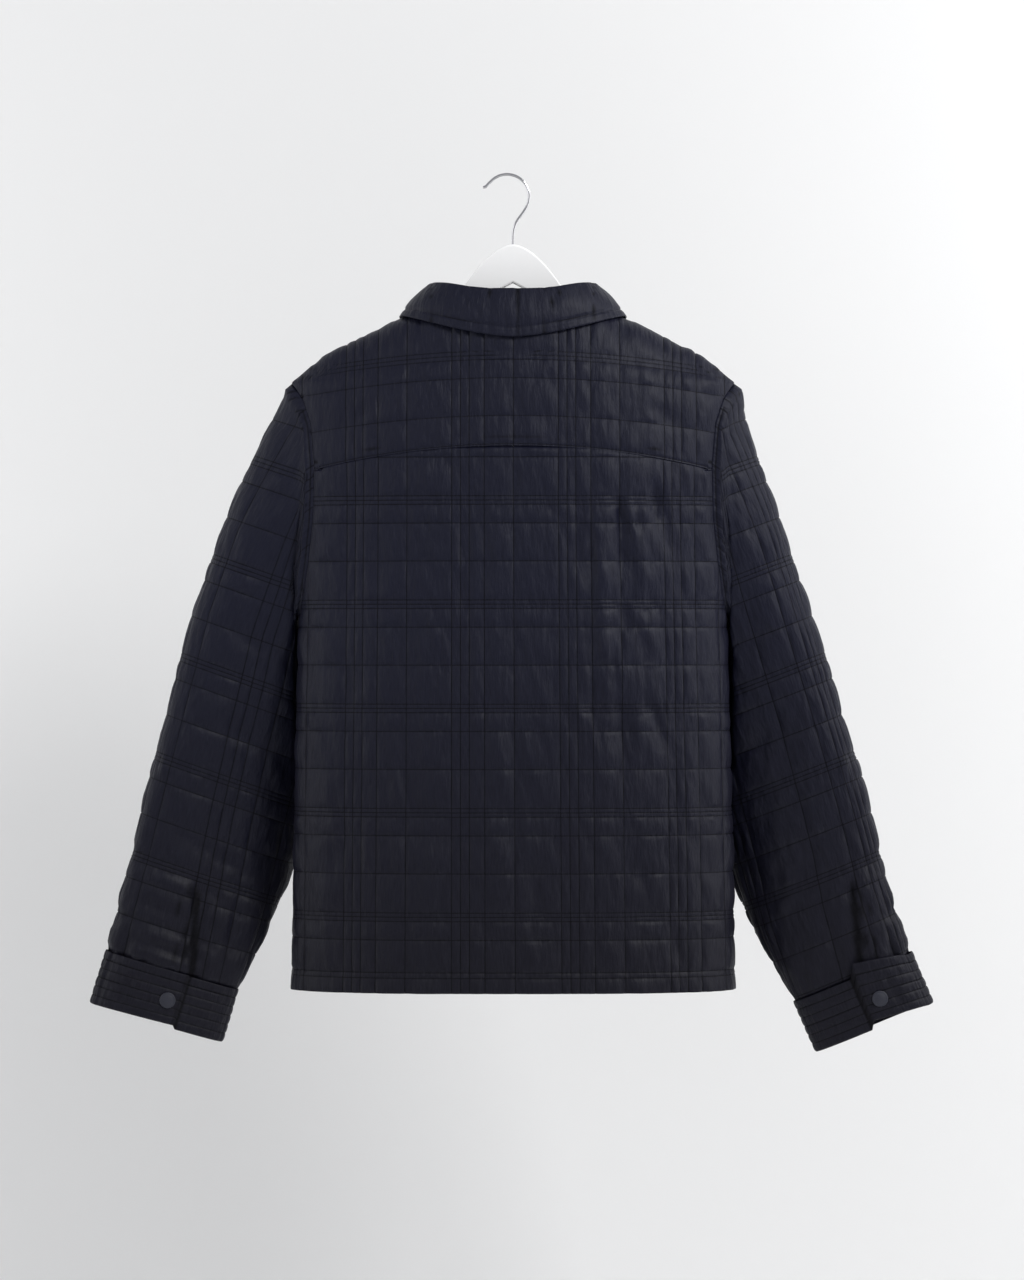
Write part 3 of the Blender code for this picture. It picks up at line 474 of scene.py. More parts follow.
def cloth_piece(name, surface, sewn_and_shade, coords, closed):
    """A thin shell on a grid of points, with its cloth coordinates and its stitched lines with their painted
    shade, smooth shaded.
    """
    rows, columns = surface.shape[:2]
    index = np.arange(rows * columns).reshape(rows, columns)
    if closed:
        index = np.concatenate([index, index[:, :1]], axis=1)
    quads = np.stack([index[:-1, :-1], index[:-1, 1:], index[1:, 1:], index[1:, :-1]], axis=-1)
    mesh = bpy.data.meshes.new(name)
    mesh.from_pydata((surface.reshape(-1, 3) * MM).tolist(), [], quads.reshape(-1, 4).tolist())
    mesh.update()
    layer = mesh.uv_layers.new(name="cloth")
    corner = quads.reshape(-1)
    flat = coords.reshape(-1, 2)[corner]
    if closed:
        seam = np.zeros(quads.shape[:2] + (4,), bool)
        seam[:, -1, 1:3] = True
        flat[seam.reshape(-1), 0] += coords[0, -1, 0] - coords[0, 0, 0] + 3.0
    layer.data.foreach_set("uv", (flat * MM).astype(np.float32).ravel())
    attribute = mesh.attributes.new("sewn_and_shade", "FLOAT", "POINT")
    attribute.data.foreach_set("value", sewn_and_shade.ravel().astype(np.float32))
    mesh.materials.append(navy_cloth())
    mesh.shade_smooth()
    piece = put(name, mesh)
    shell = piece.modifiers.new("cloth thickness", "SOLIDIFY")
    shell.thickness = CLOTH_THICK * MM
    shell.offset = -1.0
    shell.use_rim = True
    return piece


def face_out(surface, normals):
    """Whether the faces of a grid look the way that its normals point."""
    along = np.gradient(surface, axis=0)
    around = np.gradient(surface, axis=1)
    agree = (np.cross(around, along) * normals).sum(axis=2)
    return np.median(agree) > 0


def finish_grid(name, base, height, sewn_and_shade, coords, normals, closed=False):
    """Raises a grid along its normals, turns its faces outward, and makes it a cloth piece."""
    surface = base + normals * height[..., None]
    if not face_out(surface, normals):
        surface, sewn_and_shade, coords = surface[:, ::-1], sewn_and_shade[:, ::-1], coords[:, ::-1]
    piece = cloth_piece(name, surface, sewn_and_shade, coords, closed)
    return piece


def settings():
    return bpy.context.scene.shacket


def panel(name, side, columns, rows, first, last, bottom, top, triple_z, seed, crease, size, area, lift=0.0):
    """A back or front panel between its side edges and its lower and upper edges."""
    high = top[None, :]
    z = squeeze(rows, bottom, high, 0)
    widen = 1.0 + HEM_SPREAD * np.interp(z, (HEM_Z, -320.0), (1.0, 0.0))
    order = np.arange(len(columns))[None, :]
    s = TRIPLE_X + (columns[None, :] - TRIPLE_X) * widen
    s = np.minimum(s, last(z) - CROWD * (len(columns) - 1 - order))
    s = np.maximum(s, first(z) + CROWD * order)
    base = at_arc(s, z, side)
    across = TRIPLE_X + (s - TRIPLE_X) / widen
    height, sewn_and_shade = quilting(across, z, TRIPLE_X, triple_z, settings().puff / MM, seed)
    edge = np.minimum(s - first(z), last(z) - s)
    height *= unit(edge / 9.0) * np.clip((high - z) / 6.0, 0.15, 1.0)
    height += hem_shape(z)
    height -= 1.2 * unit((z - high + TUCK + 0.6) / 1.0)
    slack = unit(edge / 40.0)
    height -= slack * creases(s, z, crease)
    height += slack * 1.2 * noise(s, z, 90.0, 150.0, seed + 7)
    sewn_and_shade = np.maximum(sewn_and_shade, within(z - HEM_Z - HEM_STITCH, 0.9))
    sewn_and_shade = np.maximum(sewn_and_shade, within(edge - 2.0, 0.8) * 0.6)
    if lift:
        raised = unit((42.0 + (base[..., 0] - CENTRE_X)) / 22.0)
        raised = raised * raised * (3.0 - 2.0 * raised) * np.interp(z, (-240.0, -215.0), (1.0, 0.0))
        base[..., 1] += lift * raised
        height *= 1.0 - raised
    middle = np.stack([np.full_like(z, CENTRE_X), np.zeros_like(z), z], axis=-1)
    normals = outward(finite_normals(base), base, middle)
    coords = np.stack([across, z], axis=-1)
    return finish_grid(name, base, height, sewn_and_shade, coords, normals)


def hem_shape(z):
    """A turned hem: thicker cloth below one line of stitches."""
    up = z - HEM_Z
    line = -0.9 * bell(up - HEM_STITCH, 1.6)
    turned = 0.5 * unit((HEM_STITCH - 0.5 - up) / 3.0) * unit(up / 2.0)
    return line + turned


def back_panel():
    """The back from the hem to just under the yoke's seam."""
    columns = fine_lines(TRIPLE_X, REPEAT_X, LINES_X, -SIDE_ARC, SIDE_ARC, SEEN_STEP)
    rows = fine_lines(TRIPLE_Z, REPEAT_Z, LINES_Z, HEM_Z, YOKE_SEAM_Z - SEAM, SEEN_STEP)
    rows = np.sort(np.concatenate([rows, HEM_ROWS]))
    top = np.full(len(columns), YOKE_SEAM_Z - SEAM_FALL)
    across = look_up(ACROSS, top, np.abs(columns) / np.interp(top, HEIGHTS, WHOLE))
    top = YOKE_SEAM_Z + TUCK - seam_fall(across)
    piece = panel(
        "back_cloth", -1.0, columns, rows, lambda z: -edge_arc(z), edge_arc, HEM_Z, top,
        TRIPLE_Z, 11, BACK_CREASES, (530.0, 545.0), 0.275,
    )
    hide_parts("back_panel")


# Creases on the fronts, in the same columns
FRONT_CREASES = np.array(
    [
        (70.0, -260.0, 90.0, -420.0, 9.0, 1.8),
        (-80.0, -270.0, -104.0, -450.0, 9.0, 1.8),
        (120.0, -480.0, 100.0, -680.0, 13.0, 1.5),
        (-130.0, -500.0, -116.0, -720.0, 14.0, 1.5),
        (150.0, -300.0, 172.0, -420.0, 8.0, 1.6),
        (-158.0, -300.0, -176.0, -430.0, 8.0, 1.6),
        (40.0, -600.0, 50.0, -780.0, 12.0, -1.2),
        (-50.0, -620.0, -44.0, -770.0, 12.0, -1.2),
    ]
)


def front_panel(name, node, sign, lift, seed):
    """One front from its lapped edge to the side seam, lifted where it lies over the other."""
    def inner(z):
        return sign * (0.5 - (LAP + 0.5) * np.interp(z, (-296.0, -268.0), (1.0, 0.0)))

    def outer(z):
        return sign * edge_arc(z)

    lap = LAP + 0.5
    low, high = (-lap, SIDE_ARC) if sign > 0 else (-SIDE_ARC, lap)
    columns = fine_lines(TRIPLE_X, REPEAT_X, LINES_X, low, high, HIDDEN_STEP)
    rows = fine_lines(TRIPLE_Z, REPEAT_Z, LINES_Z, HEM_Z, -150.0, HIDDEN_STEP)
    rows = np.sort(np.concatenate([rows, HEM_ROWS]))
    top = np.full(len(columns), -200.0)
    for _ in range(14):
        share = np.abs(columns) / np.interp(top, HEIGHTS, WHOLE)
        top = shoulder_or_neck(look_up(ACROSS, top, share))
    top = top - 0.9
    ends = (inner, outer) if sign > 0 else (outer, inner)
    piece = panel(
        name, 1.0, columns, rows, *ends, HEM_Z, top,
        TRIPLE_Z, seed, FRONT_CREASES, (285.0, 640.0), 0.159, lift,
    )
    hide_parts(node)


# Rows of the yoke above and past the shoulder ridge, and below the neck's edge
OVER_RIDGE = np.linspace(-16.0, YOKE_OVER, 17)
BY_NECK = np.linspace(-30.0, 0.0, 17)
NEAR_TURN = (88.0, 89.8, 91.5, 93.2, 95.0, 220.3, 221.5)   # added columns at the neck's turn and the tips
# Creases on the yoke, with heights above its seam
YOKE_CREASES = np.array(
    [
        (-78.0, 2.0, -74.0, -24.0, 4.0, 1.8),
        (-70.0, 2.0, -60.0, -20.0, 3.5, 1.2),
        (-120.0, 40.0, -180.0, 20.0, 8.0, 1.4),
        (120.0, 44.0, 185.0, 18.0, 8.0, 1.4),
        (60.0, 70.0, 110.0, 30.0, 9.0, 1.0),
        (-60.0, 80.0, -90.0, 30.0, 9.0, 1.0),
        (20.0, 100.0, 34.0, 50.0, 8.0, 0.8),
    ]
)


def yoke():
    """The yoke from its seam over the shoulder ridge to the fronts, cut out round the neck."""
    columns = fine_lines(TRIPLE_X, REPEAT_X, LINES_X, -219.0, 219.0, SEEN_STEP)
    extra = np.array([k * side for side in (-1.0, 1.0) for k in NEAR_TURN])
    columns = np.sort(np.concatenate([columns, extra]))
    lowest, highest = YOKE_SEAM_Z - SEAM_FALL, ridge(NECK_HALF) - 20.0
    lines = fine_lines(YOKE_TRIPLE_Z, REPEAT_Z, LINES_Z, lowest, highest, SEEN_STEP) - YOKE_SEAM_Z
    over_ridge = ridge(columns) - YOKE_SEAM_Z
    turn = unit((np.abs(columns) - NECK_TURN) / (NECK_HALF - NECK_TURN))
    base_over = np.minimum(neck_back(columns) - YOKE_SEAM_Z, over_ridge) * (1 - turn) + over_ridge * turn
    upper = base_over[None, :] + BY_NECK[:, None] * (1 - turn) + OVER_RIDGE[:, None] * turn
    drop = fall_away(LINES_FALL, columns)[None, :]
    low = -seam_fall(columns)[None, :] + drop
    lower = squeeze(np.concatenate([[BELOW_SEAM], lines[1:]]), low, upper[:1] - 2.0 + drop, 0) - drop
    over = np.concatenate([lower, upper]) + SEAM
    past = over - over_ridge[None, :]
    z = ridge(columns)[None, :] - np.abs(past)
    limit = np.where(z < SHOULDER_Z, np.interp(z, ARMHOLE[:, 0], ARMHOLE[:, 1]) - SEAM, 222.0)
    order = np.arange(len(columns))[None, :]
    x = np.minimum(columns[None, :], limit - CROWD * (len(columns) - 1 - order))
    x = np.maximum(x, -limit + CROWD * order)
    z = np.minimum(z, ridge(x))
    side = np.where(past < 0.0, -1.0, 1.0)
    base = np.stack([CENTRE_X + x, side * torso_depth(x, z), z], axis=-1)
    height, sewn_and_shade = quilting(x, YOKE_SEAM_Z + over + drop, TRIPLE_X, YOKE_TRIPLE_Z, settings().puff / MM, 31)
    above = over + seam_fall(columns)[None, :] - SEAM
    end = np.minimum(above, over[-1:] - over)
    edge = np.minimum(limit - np.abs(x), end)
    height *= unit(edge / 7.0)
    for row in (1.6, 8.2):
        sewn_and_shade = np.maximum(sewn_and_shade, within(above - row, 0.8))
        height -= 0.45 * bell(above - row, 1.1)
    height -= unit(edge / 20.0) * creases(x, over, YOKE_CREASES)
    middle = np.stack([np.full_like(z, CENTRE_X), np.zeros_like(z), z - 60.0], axis=-1)
    normals = outward(finite_normals(base), base, middle)
    coords = np.stack([x, over + YOKE_SEAM_Z], axis=-1)
    piece = finish_grid("yoke_cloth", base, height, sewn_and_shade, coords, normals)
    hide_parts("back_yoke")


def ring(table, z):
    """Centre, half width vector, half thickness vector and half girth of a sleeve at outer heights z."""
    edge, width, thick, slope, turn = read(table, z)
    slope, turn = np.radians(slope), np.radians(turn)
    zero = np.zeros_like(slope)
    across = np.stack([-np.cos(slope) * np.cos(turn), np.sin(turn), -np.sin(slope)], axis=-1)
    down = np.stack([np.sin(slope), zero, -np.cos(slope)], axis=-1)
    back = np.cross(across, down)
    back *= (-np.sign(back[..., 1]) / np.linalg.norm(back, axis=-1))[..., None]
    centre = np.stack([edge, zero, np.asarray(z, float)], axis=-1) + across * width[..., None] / 2
    half_girth = pi / 2 * (0.75 * (width + thick) - 0.5 * np.sqrt(width * thick))
    return centre, -across * width[..., None] / 2, back * thick[..., None] / 2, half_girth


def tube_point(table, z, share, side):
    centre, wide, thick, _ = ring(table, z)
    angle = pi * share
    swing = side * np.sin(angle).clip(0.0) ** 0.85
    return centre + wide * np.cos(angle)[..., None] - thick * swing[..., None]


def push_out(point, clear):
    """Moves points that are too near the torso straight out from its middle line."""
    half, depth, power = read(TORSO, point[..., 2])
    across = np.abs(point[..., 0]) / (half + clear)
    through = np.abs(point[..., 1]) / (depth + clear)
    size = (across**power + through**power) ** (1.0 / power)
    size = np.where(size <= 0.0, 1.0, np.minimum(size, 1.0))
    return point / np.stack([size, size, np.ones_like(size)], axis=-1)


def armhole(share, side):
    """Points of the armhole from the shoulder (0) to the armpit (1)."""
    z = np.linspace(SHOULDER_Z, ARMPIT_Z, 240)
    x = read(ARMHOLE, z)[0]
    y = torso_depth(x, z)
    y[0] = 0.0
    arc = np.concatenate([[0.0], np.cumsum(np.sqrt(np.diff(x) ** 2 + np.diff(y) ** 2 + np.diff(z) ** 2))])
    at = share * arc[-1]
    return np.stack([np.interp(at, arc, x), side * np.interp(at, arc, y), np.interp(at, arc, z)], axis=-1)


def sleeve_start(table, point):
    """The outer height of the ring whose plane holds each point of the armhole."""
    z = point[:, 2].copy()
    for _ in range(25):
        edge, _, _, slope, _ = read(table, z)
        slope = np.radians(slope)
        z -= 0.9 * ((point[:, 0] - edge) * np.sin(slope) - (point[:, 2] - z) * np.cos(slope))
    return z


SLEEVE_MIDDLE_Z = -524.0
SLEEVE_STEP = 4.4


def sleeve(name, node, table, sign, first_line, seed, slit):
    """A sleeve as one closed tube from the armhole to the cuff, with its seam on the inner side.

    The slit gives its edge's place round the sleeve at the top, its top's height, and its edge at the cuff.
    """
    end = table[:, 0].min()
    half_girth = ring(table, np.array(SLEEVE_MIDDLE_Z))[3]
    back = fine_lines(first_line, REPEAT_X, LINES_X, 0.0, half_girth, SLEEVE_STEP)
    front = fine_lines(-first_line, REPEAT_X, LINES_X, 0.0, half_girth, SLEEVE_STEP + 1.0)
    listed = np.concatenate([back, front[::-1][1:-1]])
    side = np.concatenate([-np.ones(len(back)), np.ones(len(front) - 2)])
    share0 = listed / half_girth
    rim = armhole(share0, side)
    start = sleeve_start(table, rim)
    offsets = [line * SLEEVE_REPEAT / REPEAT_Z for line in LINES_Z]
    rows = fine_lines(SLEEVE_TRIPLE_Z, SLEEVE_REPEAT, offsets, end, SHOULDER_Z - 6.0, SLEEVE_STEP)[::-1]
    lowered = np.concatenate([[0.0], -rows])
    z = -squeeze(lowered, -start[None, :], -end, 0)
    girth = ring(table, z)[3]
    backs = len(back)
    places_back = squeeze(back, 0.0, girth[:, :backs], 1)
    places_front = squeeze(front, 0.0, girth[:, :1], 1)[:, ::-1][:, 1:-1]
    places = np.concatenate([places_back, places_front], axis=1)
    past = start[None, :] - z
    near = unit(past / 60.0)
    share = share0 * (1.0 - near) + near * places / girth
    fade = unit(1.0 - past / 150.0) ** 2
    offset = rim - tube_point(table, start, share0, side)
    base = tube_point(table, z, share, side[None, :]) + offset[None] * fade[..., None]
    base = push_out(base, CLEAR * unit(past / 5.0))
    lower = unit((rim[:, 2] - ARMPIT_Z) / 40.0)
    way = np.stack([lower, np.zeros_like(lower), 1.0 - lower], axis=-1)
    way /= np.linalg.norm(way, axis=1, keepdims=True)
    base[0] = rim - way * 1.0 - torso_normal(rim) * 1.1
    place = -side * (listed * (1.0 - near) + places * near)
    along = (z - SLEEVE_TRIPLE_Z) * REPEAT_Z / SLEEVE_REPEAT + TRIPLE_Z
    height, sewn_and_shade = quilting(place, along, first_line, TRIPLE_Z, settings().puff / MM, seed)
    height *= unit(past / 9.0) * np.clip((z - end) / 8.0, 0.7, 1.0)
    free = unit(past / 40.0)
    body = unit((share - 0.55) / 0.2)
    height -= free * (1.0 - 0.7 * body) * creases(place, z, SLEEVE_CREASES)
    height += free * (1.0 - 0.6 * body) * 1.5 * noise(place, z, 46.0, 60.0, seed + 5)
    low_down = np.interp(z, (end, end + 90.0), (1.0, 0.0))
    height += low_down * (1.0 - 0.6 * body) * 2.5 * noise(place + 0.4 * z, z, 60.0, 9.0, seed + 9)
    for stitch in (2.0, 8.4):
        sewn_and_shade = np.maximum(sewn_and_shade, within(past - stitch, 0.9))
        height -= 0.5 * bell(past - stitch, 1.2)
    edge_at_top, slit_top, edge_at_cuff = slit
    edge = np.interp(z, (end, slit_top), (edge_at_cuff, edge_at_top))
    inside = np.where(side[None, :] < 0.0, place - edge, 60.0)
    lapping = np.interp(z, (slit_top - 12.0, slit_top), (1.0, 0.0))
    raised = unit((2.0 - inside) / 3.0) * unit((place + 6.0) / 30.0)
    height += 2.6 * lapping * raised
    height -= 2.2 * lapping * bell(inside - 6.0, 4.0)
    for stitch in (-3.0, -9.5):
        sewn_and_shade = np.maximum(sewn_and_shade, lapping * np.clip(1.0 - np.abs(inside - stitch) / 1.6, 0.0, 0.8))
    # Painted shadow: a dark line along the edge of the slit's lifted flap.
    sewn_and_shade = np.maximum(sewn_and_shade, lapping * unit(1.6 - np.abs(inside - 3.4) / 3.0))
    normals = finite_normals(base, closed=True)
    normals = outward(normals, base, base.mean(axis=1, keepdims=True))
    flip = np.array([sign, 1.0, 1.0])
    base = base * flip
    base[..., 0] += CENTRE_X
    coords = np.stack([place, along], axis=-1)
    piece = finish_grid(name, base, height, sewn_and_shade, coords, normals * flip, closed=True)
    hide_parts(node + "_back", node + "_front")


FLAP_STEP = 2.6       # how far the lap stands off the cuff below it
FLAP_START = 0.12 * pi
CUFF_ROW = 9.3        # between the cuff's sewn rows
CUFF_OUT = 1.5        # how far the cuff stands off the sleeve's end


def sleeve_end(table):
    """The middle of a sleeve's end, its half width and half thickness vectors, and the way down."""
    end = table[:, 0].min()
    centre, wide, thick, _ = ring(table, np.array(end))
    slope = radians(float(read(table, end)[3]))
    return centre, wide, thick, np.array([sin(slope), 0.0, -cos(slope)])


def cuff(name, node, table, sign, edge_share, rise, top_rise, seed):
    """A quilted band below a sleeve whose flap laps over itself on the back.

    At the flap's edge its lower side is higher by rise and its upper side by top_rise.
    """
    centre, wide, thick, down = sleeve_end(table)
    edge = np.arccos(1.0 - 2.0 * edge_share)
    start = FLAP_START
    flap, rest = np.linspace(start, edge - 0.02, 46), np.linspace(edge + 0.008, start + tau, 110)
    angle = np.concatenate([flap, rest[:-1]])
    rows = np.sort(np.concatenate([np.linspace(0.4, CUFF_HEIGHT - 0.4, 45), np.arange(1, 6) * CUFF_ROW]))
    a = angle[None, :] + np.zeros((len(rows), 1))
    h = rows[:, None] + np.zeros_like(a)
    swing = np.sign(np.sin(a)) * np.abs(np.sin(a)) ** 0.85
    flat_wide = wide / np.linalg.norm(wide) ** 2
    flat_thick = thick / np.linalg.norm(thick) ** 2
    out = flat_wide * np.cos(a)[..., None] + flat_thick * np.sin(a)[..., None]
    out /= np.linalg.norm(out, axis=-1, keepdims=True)
    lapped = (a > start + 0.1) & (a < edge)
    lift = np.where(lapped, FLAP_STEP, 0.0) * unit((a - start) / 0.5)
    over = np.where(a < edge, unit((a - start) / (edge - start)), 0.0)
    high = top_rise * over * (1.0 - h / CUFF_HEIGHT) ** 1.5
    base = centre + wide * np.cos(a)[..., None] + thick * swing[..., None]
    base = base + down * h[..., None] + out * CUFF_OUT
    base[..., 2] += rise * over * (h / CUFF_HEIGHT) ** 2 + high
    base += out * (0.12 * high)[..., None]
    around = a * np.linalg.norm(wide) * 0.75
    row = (h % CUFF_ROW) / CUFF_ROW
    swell = (4.0 * row * (1.0 - row)) ** 0.5
    height = 0.9 * swell + lift + 0.35 * noise(around, h, 5.0, 12.0, seed) * swell
    height += 0.5 * noise(around, h, 26.0, 40.0, seed + 1)
    cross_off = np.abs(((around + 9.0) % 61.0) - 30.5)
    height -= 0.6 * bell(cross_off, 1.4)
    height -= 0.6 * bell(CUFF_HEIGHT - h, 1.5)
    sewn_and_shade = unit(1.0 - np.minimum(h % CUFF_ROW, CUFF_ROW - h % CUFF_ROW) / 0.8)
    sewn_and_shade = np.maximum(sewn_and_shade, within(a - edge + 0.06, 0.02))
    # Painted shadow: a dark band right along the edge of the lifted flap.
    sewn_and_shade = np.maximum(sewn_and_shade, unit(1.5 - np.abs(a - edge) / 0.02))
    flip = np.array([sign, 1.0, 1.0])
    base = base * flip
    base[..., 0] += CENTRE_X
    coords = np.stack([around, h], axis=-1)
    piece = finish_grid(name, base, height, sewn_and_shade, coords, out * flip, closed=True)
    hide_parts(node)


def neck_seam():
    """Half the neck seam, from the centre front round to the centre back, and its arc lengths."""
    count = 60
    front = np.linspace(1.0, NECK_HALF, 60)
    corner = np.linspace(NECK_HALF, NECK_TURN, 12)[1:]
    back = np.linspace(87.5, 0.0, 60)
    x = np.concatenate([front, corner, back])
    over = ridge(corner) - YOKE_OVER * (corner - NECK_TURN) / (NECK_HALF - NECK_TURN)
    z = np.concatenate([shoulder_or_neck(front), over, neck_back(back)])
    side = np.concatenate([np.ones(len(front) + len(corner)), -np.ones(len(back))])
    z = np.minimum(z, ridge(x))
    points = np.stack([x, side * torso_depth(x, z), z], axis=-1)
    arc = np.concatenate([[0.0], np.cumsum(np.linalg.norm(np.diff(points, axis=0), axis=1))])
    at = np.linspace(0.0, arc[-1], count)
    return np.stack([np.interp(at, arc, points[:, k]) for k in range(3)], axis=1), at


# Height of the stand by share of the half loop from the centre front
STAND_HEIGHT = np.array(
    [
        (0.00, 22.0),
        (0.40, 22.0),
        (0.56, 18.5),
        (0.63, 17.5),
        (0.71, 26.5),
        (0.81, 31.5),
        (1.00, 33.5),
    ]
)
STAND_LEAN = 0.075    # the top's loop is smaller by this share


def stand_row(level):
    """Half a row of the stand, from the neck seam (0) to its top (1)."""
    seam, at = neck_seam()
    lean = 1.0 - STAND_LEAN * level
    raised = seam * np.array([lean, lean, 1.0])
    smooth = np.interp(np.linspace(0.0, 1.0, 61), STAND_HEIGHT[:, 0], STAND_HEIGHT[:, 1])
    smooth = np.convolve(np.pad(smooth, 4, mode="edge"), np.full(9, 1 / 9), mode="valid")
    raised[:, 2] += 0.9 + level * np.interp(at / at[-1], np.linspace(0.0, 1.0, 61), smooth)
    return raised


def both_sides(half):
    whole = np.concatenate([half, (half * np.array([-1.0, 1.0, 1.0]))[::-1][1:]])
    whole[:, 0] += CENTRE_X
    return whole


def flat_out(points):
    out = (points - np.array([CENTRE_X, 0.0, 0.0])) * np.array([1.0, 2.2, 0.0])
    return out / np.linalg.norm(out, axis=-1, keepdims=True)


def collar_stand():
    """The stand, a plain band on the neck seam."""
    base = np.stack([both_sides(stand_row(level)) for level in np.linspace(0.0, 1.0, 12)])
    normals = flat_out(base)
    around = np.linspace(-1.0, 1.0, base.shape[1])[None, :] * 250.0 + np.zeros(base.shape[:2])
    up = np.linspace(0.0, 28.0, 12)[:, None] + np.zeros(base.shape[:2])
    height = 0.3 * noise(around, up, 12.0, 14.0, 51)
    sewn_and_shade = np.zeros(base.shape[:2])
    coords = np.stack([around, up], axis=-1)
    piece = finish_grid("stand_cloth", base, height, sewn_and_shade, coords, normals)
    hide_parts("collar_stand")


# The fall's free edge at the front: share of its half length, distance from the middle, height
FALL_EDGE = np.array(
    [
        (0.00, 64.0, -258.0),
        (0.18, 84.0, -222.0),
        (0.36, 103.0, -180.0),
        (0.50, 108.5, -151.0),
        (0.56, 108.5, -140.6),
    ]
)
FALL_RIDGE = 0.56     # share where the edge passes over the shoulder ridge
FALL_MIDDLE_Z = -165.0
FALL_CLEAR = 5.6
FALL_STITCH = 9.3     # the sewn line along the free edge
FALL_LINES = (-81.0, -23.0, 4.5, 31.0, 38.5, 46.0, 80.0)     # sewn lines across the fall, from the middle


# Creases on the back of the fall: start x and z, end x and z, half width, depth
COLLAR_CREASES = np.array(
    [
        (-58.0, -112.0, -26.0, -148.0, 2.6, 1.6),
        (-50.0, -110.0, -14.0, -146.0, 2.4, 1.1),
        (-70.0, -118.0, -48.0, -146.0, 2.6, 1.2),
        (60.0, -112.0, 78.0, -140.0, 3.0, 0.9),
        (20.0, -116.0, 26.0, -146.0, 3.5, 0.7),
    ]
)


def fall_edge_row(count):
    """Half the fall's free edge, from the centre front to the centre back."""
    share = np.linspace(0.0, 1.0, count)
    x = np.interp(share, FALL_EDGE[:, 0], FALL_EDGE[:, 1])
    z = np.interp(share, FALL_EDGE[:, 0], FALL_EDGE[:, 2])
    widest, highest = FALL_EDGE[-1, 1:]
    past = unit((share - FALL_RIDGE) / (1.0 - FALL_RIDGE))
    x = np.where(past > 0.0, widest * (1.0 - past**1.25), x)
    z = np.where(past > 0.0, FALL_MIDDLE_Z + (highest - FALL_MIDDLE_Z) * (x / widest) ** 1.6, z)
    z = np.minimum(z, ridge(x))
    side = np.where(share < FALL_RIDGE, 1.0, -1.0)
    point = np.stack([x, side * torso_depth(x, z), z], axis=-1)
    return point + FALL_CLEAR * torso_normal(point)


def collar_fall():
    """The fall of the collar, from the stand's top down over the neck seam to its free edge."""
    top = stand_row(1.0)
    out = flat_out(top + np.array([CENTRE_X, 0.0, 0.0]))
    top = top + out * 2.1 + np.array([0.0, 0.0, 1.6])
    edge = fall_edge_row(len(top))
    share = np.linspace(0.0, 1.0, 34)
    rows = []
    for at in share:
        bulge = 3.4 * sin(pi * min(at * 1.1, 1.0))
        rows.append(both_sides(top * (1.0 - at) + edge * at + out * bulge))
    base = np.stack(rows)
    normals = outward(finite_normals(base), base, np.array([CENTRE_X, 0.0, -180.0]))
    x = base[..., 0] - CENTRE_X
    at_back = base[..., 1] < 0.0
    drop = np.linalg.norm(base - base[-1:], axis=-1)
    height = 0.7 * np.sin(pi * share)[:, None] ** 0.5 + np.zeros_like(x)
    sewn_and_shade = np.zeros_like(x)
    for line in FALL_LINES:
        off = np.abs(x - line)
        sewn_and_shade = np.maximum(sewn_and_shade, np.where(at_back, unit(1.0 - off / 1.6), 0.0))
        height -= np.where(at_back, 0.8 * bell(off, 1.8), 0.0)
    around = np.cumsum(np.concatenate([[0.0], np.linalg.norm(np.diff(base[20], axis=0), axis=1)]))
    around = around[None, :] + np.zeros_like(x)
    height += 0.55 * noise(around, drop, 13.0, 16.0, 61) * np.sin(pi * share)[:, None]
    height -= 1.2 * bell(drop - FALL_STITCH, 1.4) * (share > 0.3)[:, None]
    height += 0.5 * bell(drop - 3.6, 3.2)
    sewn_and_shade = np.maximum(sewn_and_shade, within(drop - FALL_STITCH, 0.8))
    slant = creases(x, base[..., 2], COLLAR_CREASES)
    height -= np.where(at_back, slant, 0.0)
    coords = np.stack([around, drop], axis=-1)
    piece = finish_grid("fall_cloth", base, height, sewn_and_shade, coords, normals)
    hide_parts("collar_fall")


class Field:
    """A shader socket that can be used in ordinary arithmetic."""

    def __init__(self, graph, socket):
        self.graph = graph
        self.socket = socket

    def combine(self, operation, first, second):
        return self.graph.node("ShaderNodeMath", {"operation": operation}, {0: first, 1: second}).out()

    def __add__(self, other):
        return self.combine("ADD", self, other)

    def __sub__(self, other):
        return self.combine("SUBTRACT", self, other)

    def __rsub__(self, other):
        return self.combine("SUBTRACT", other, self)

    def __mul__(self, other):
        return self.combine("MULTIPLY", self, other)

    def __pow__(self, other):
        return self.combine("POWER", self, other)

    def clamp(self):
        return self.graph.node("ShaderNodeClamp", {}, {"Value": self}).out()

    __radd__ = __add__
    __rmul__ = __mul__


class Node:
    """A shader node whose outputs are Fields."""

    def __init__(self, graph, node):
        self.graph = graph
        self.node = node

    def out(self, name=0):
        return Field(self.graph, self.node.outputs[name])


# Sockets of a colour Mix node
MIX_FIRST = 6
MIX_SECOND = 7
MIX_RESULT = 2


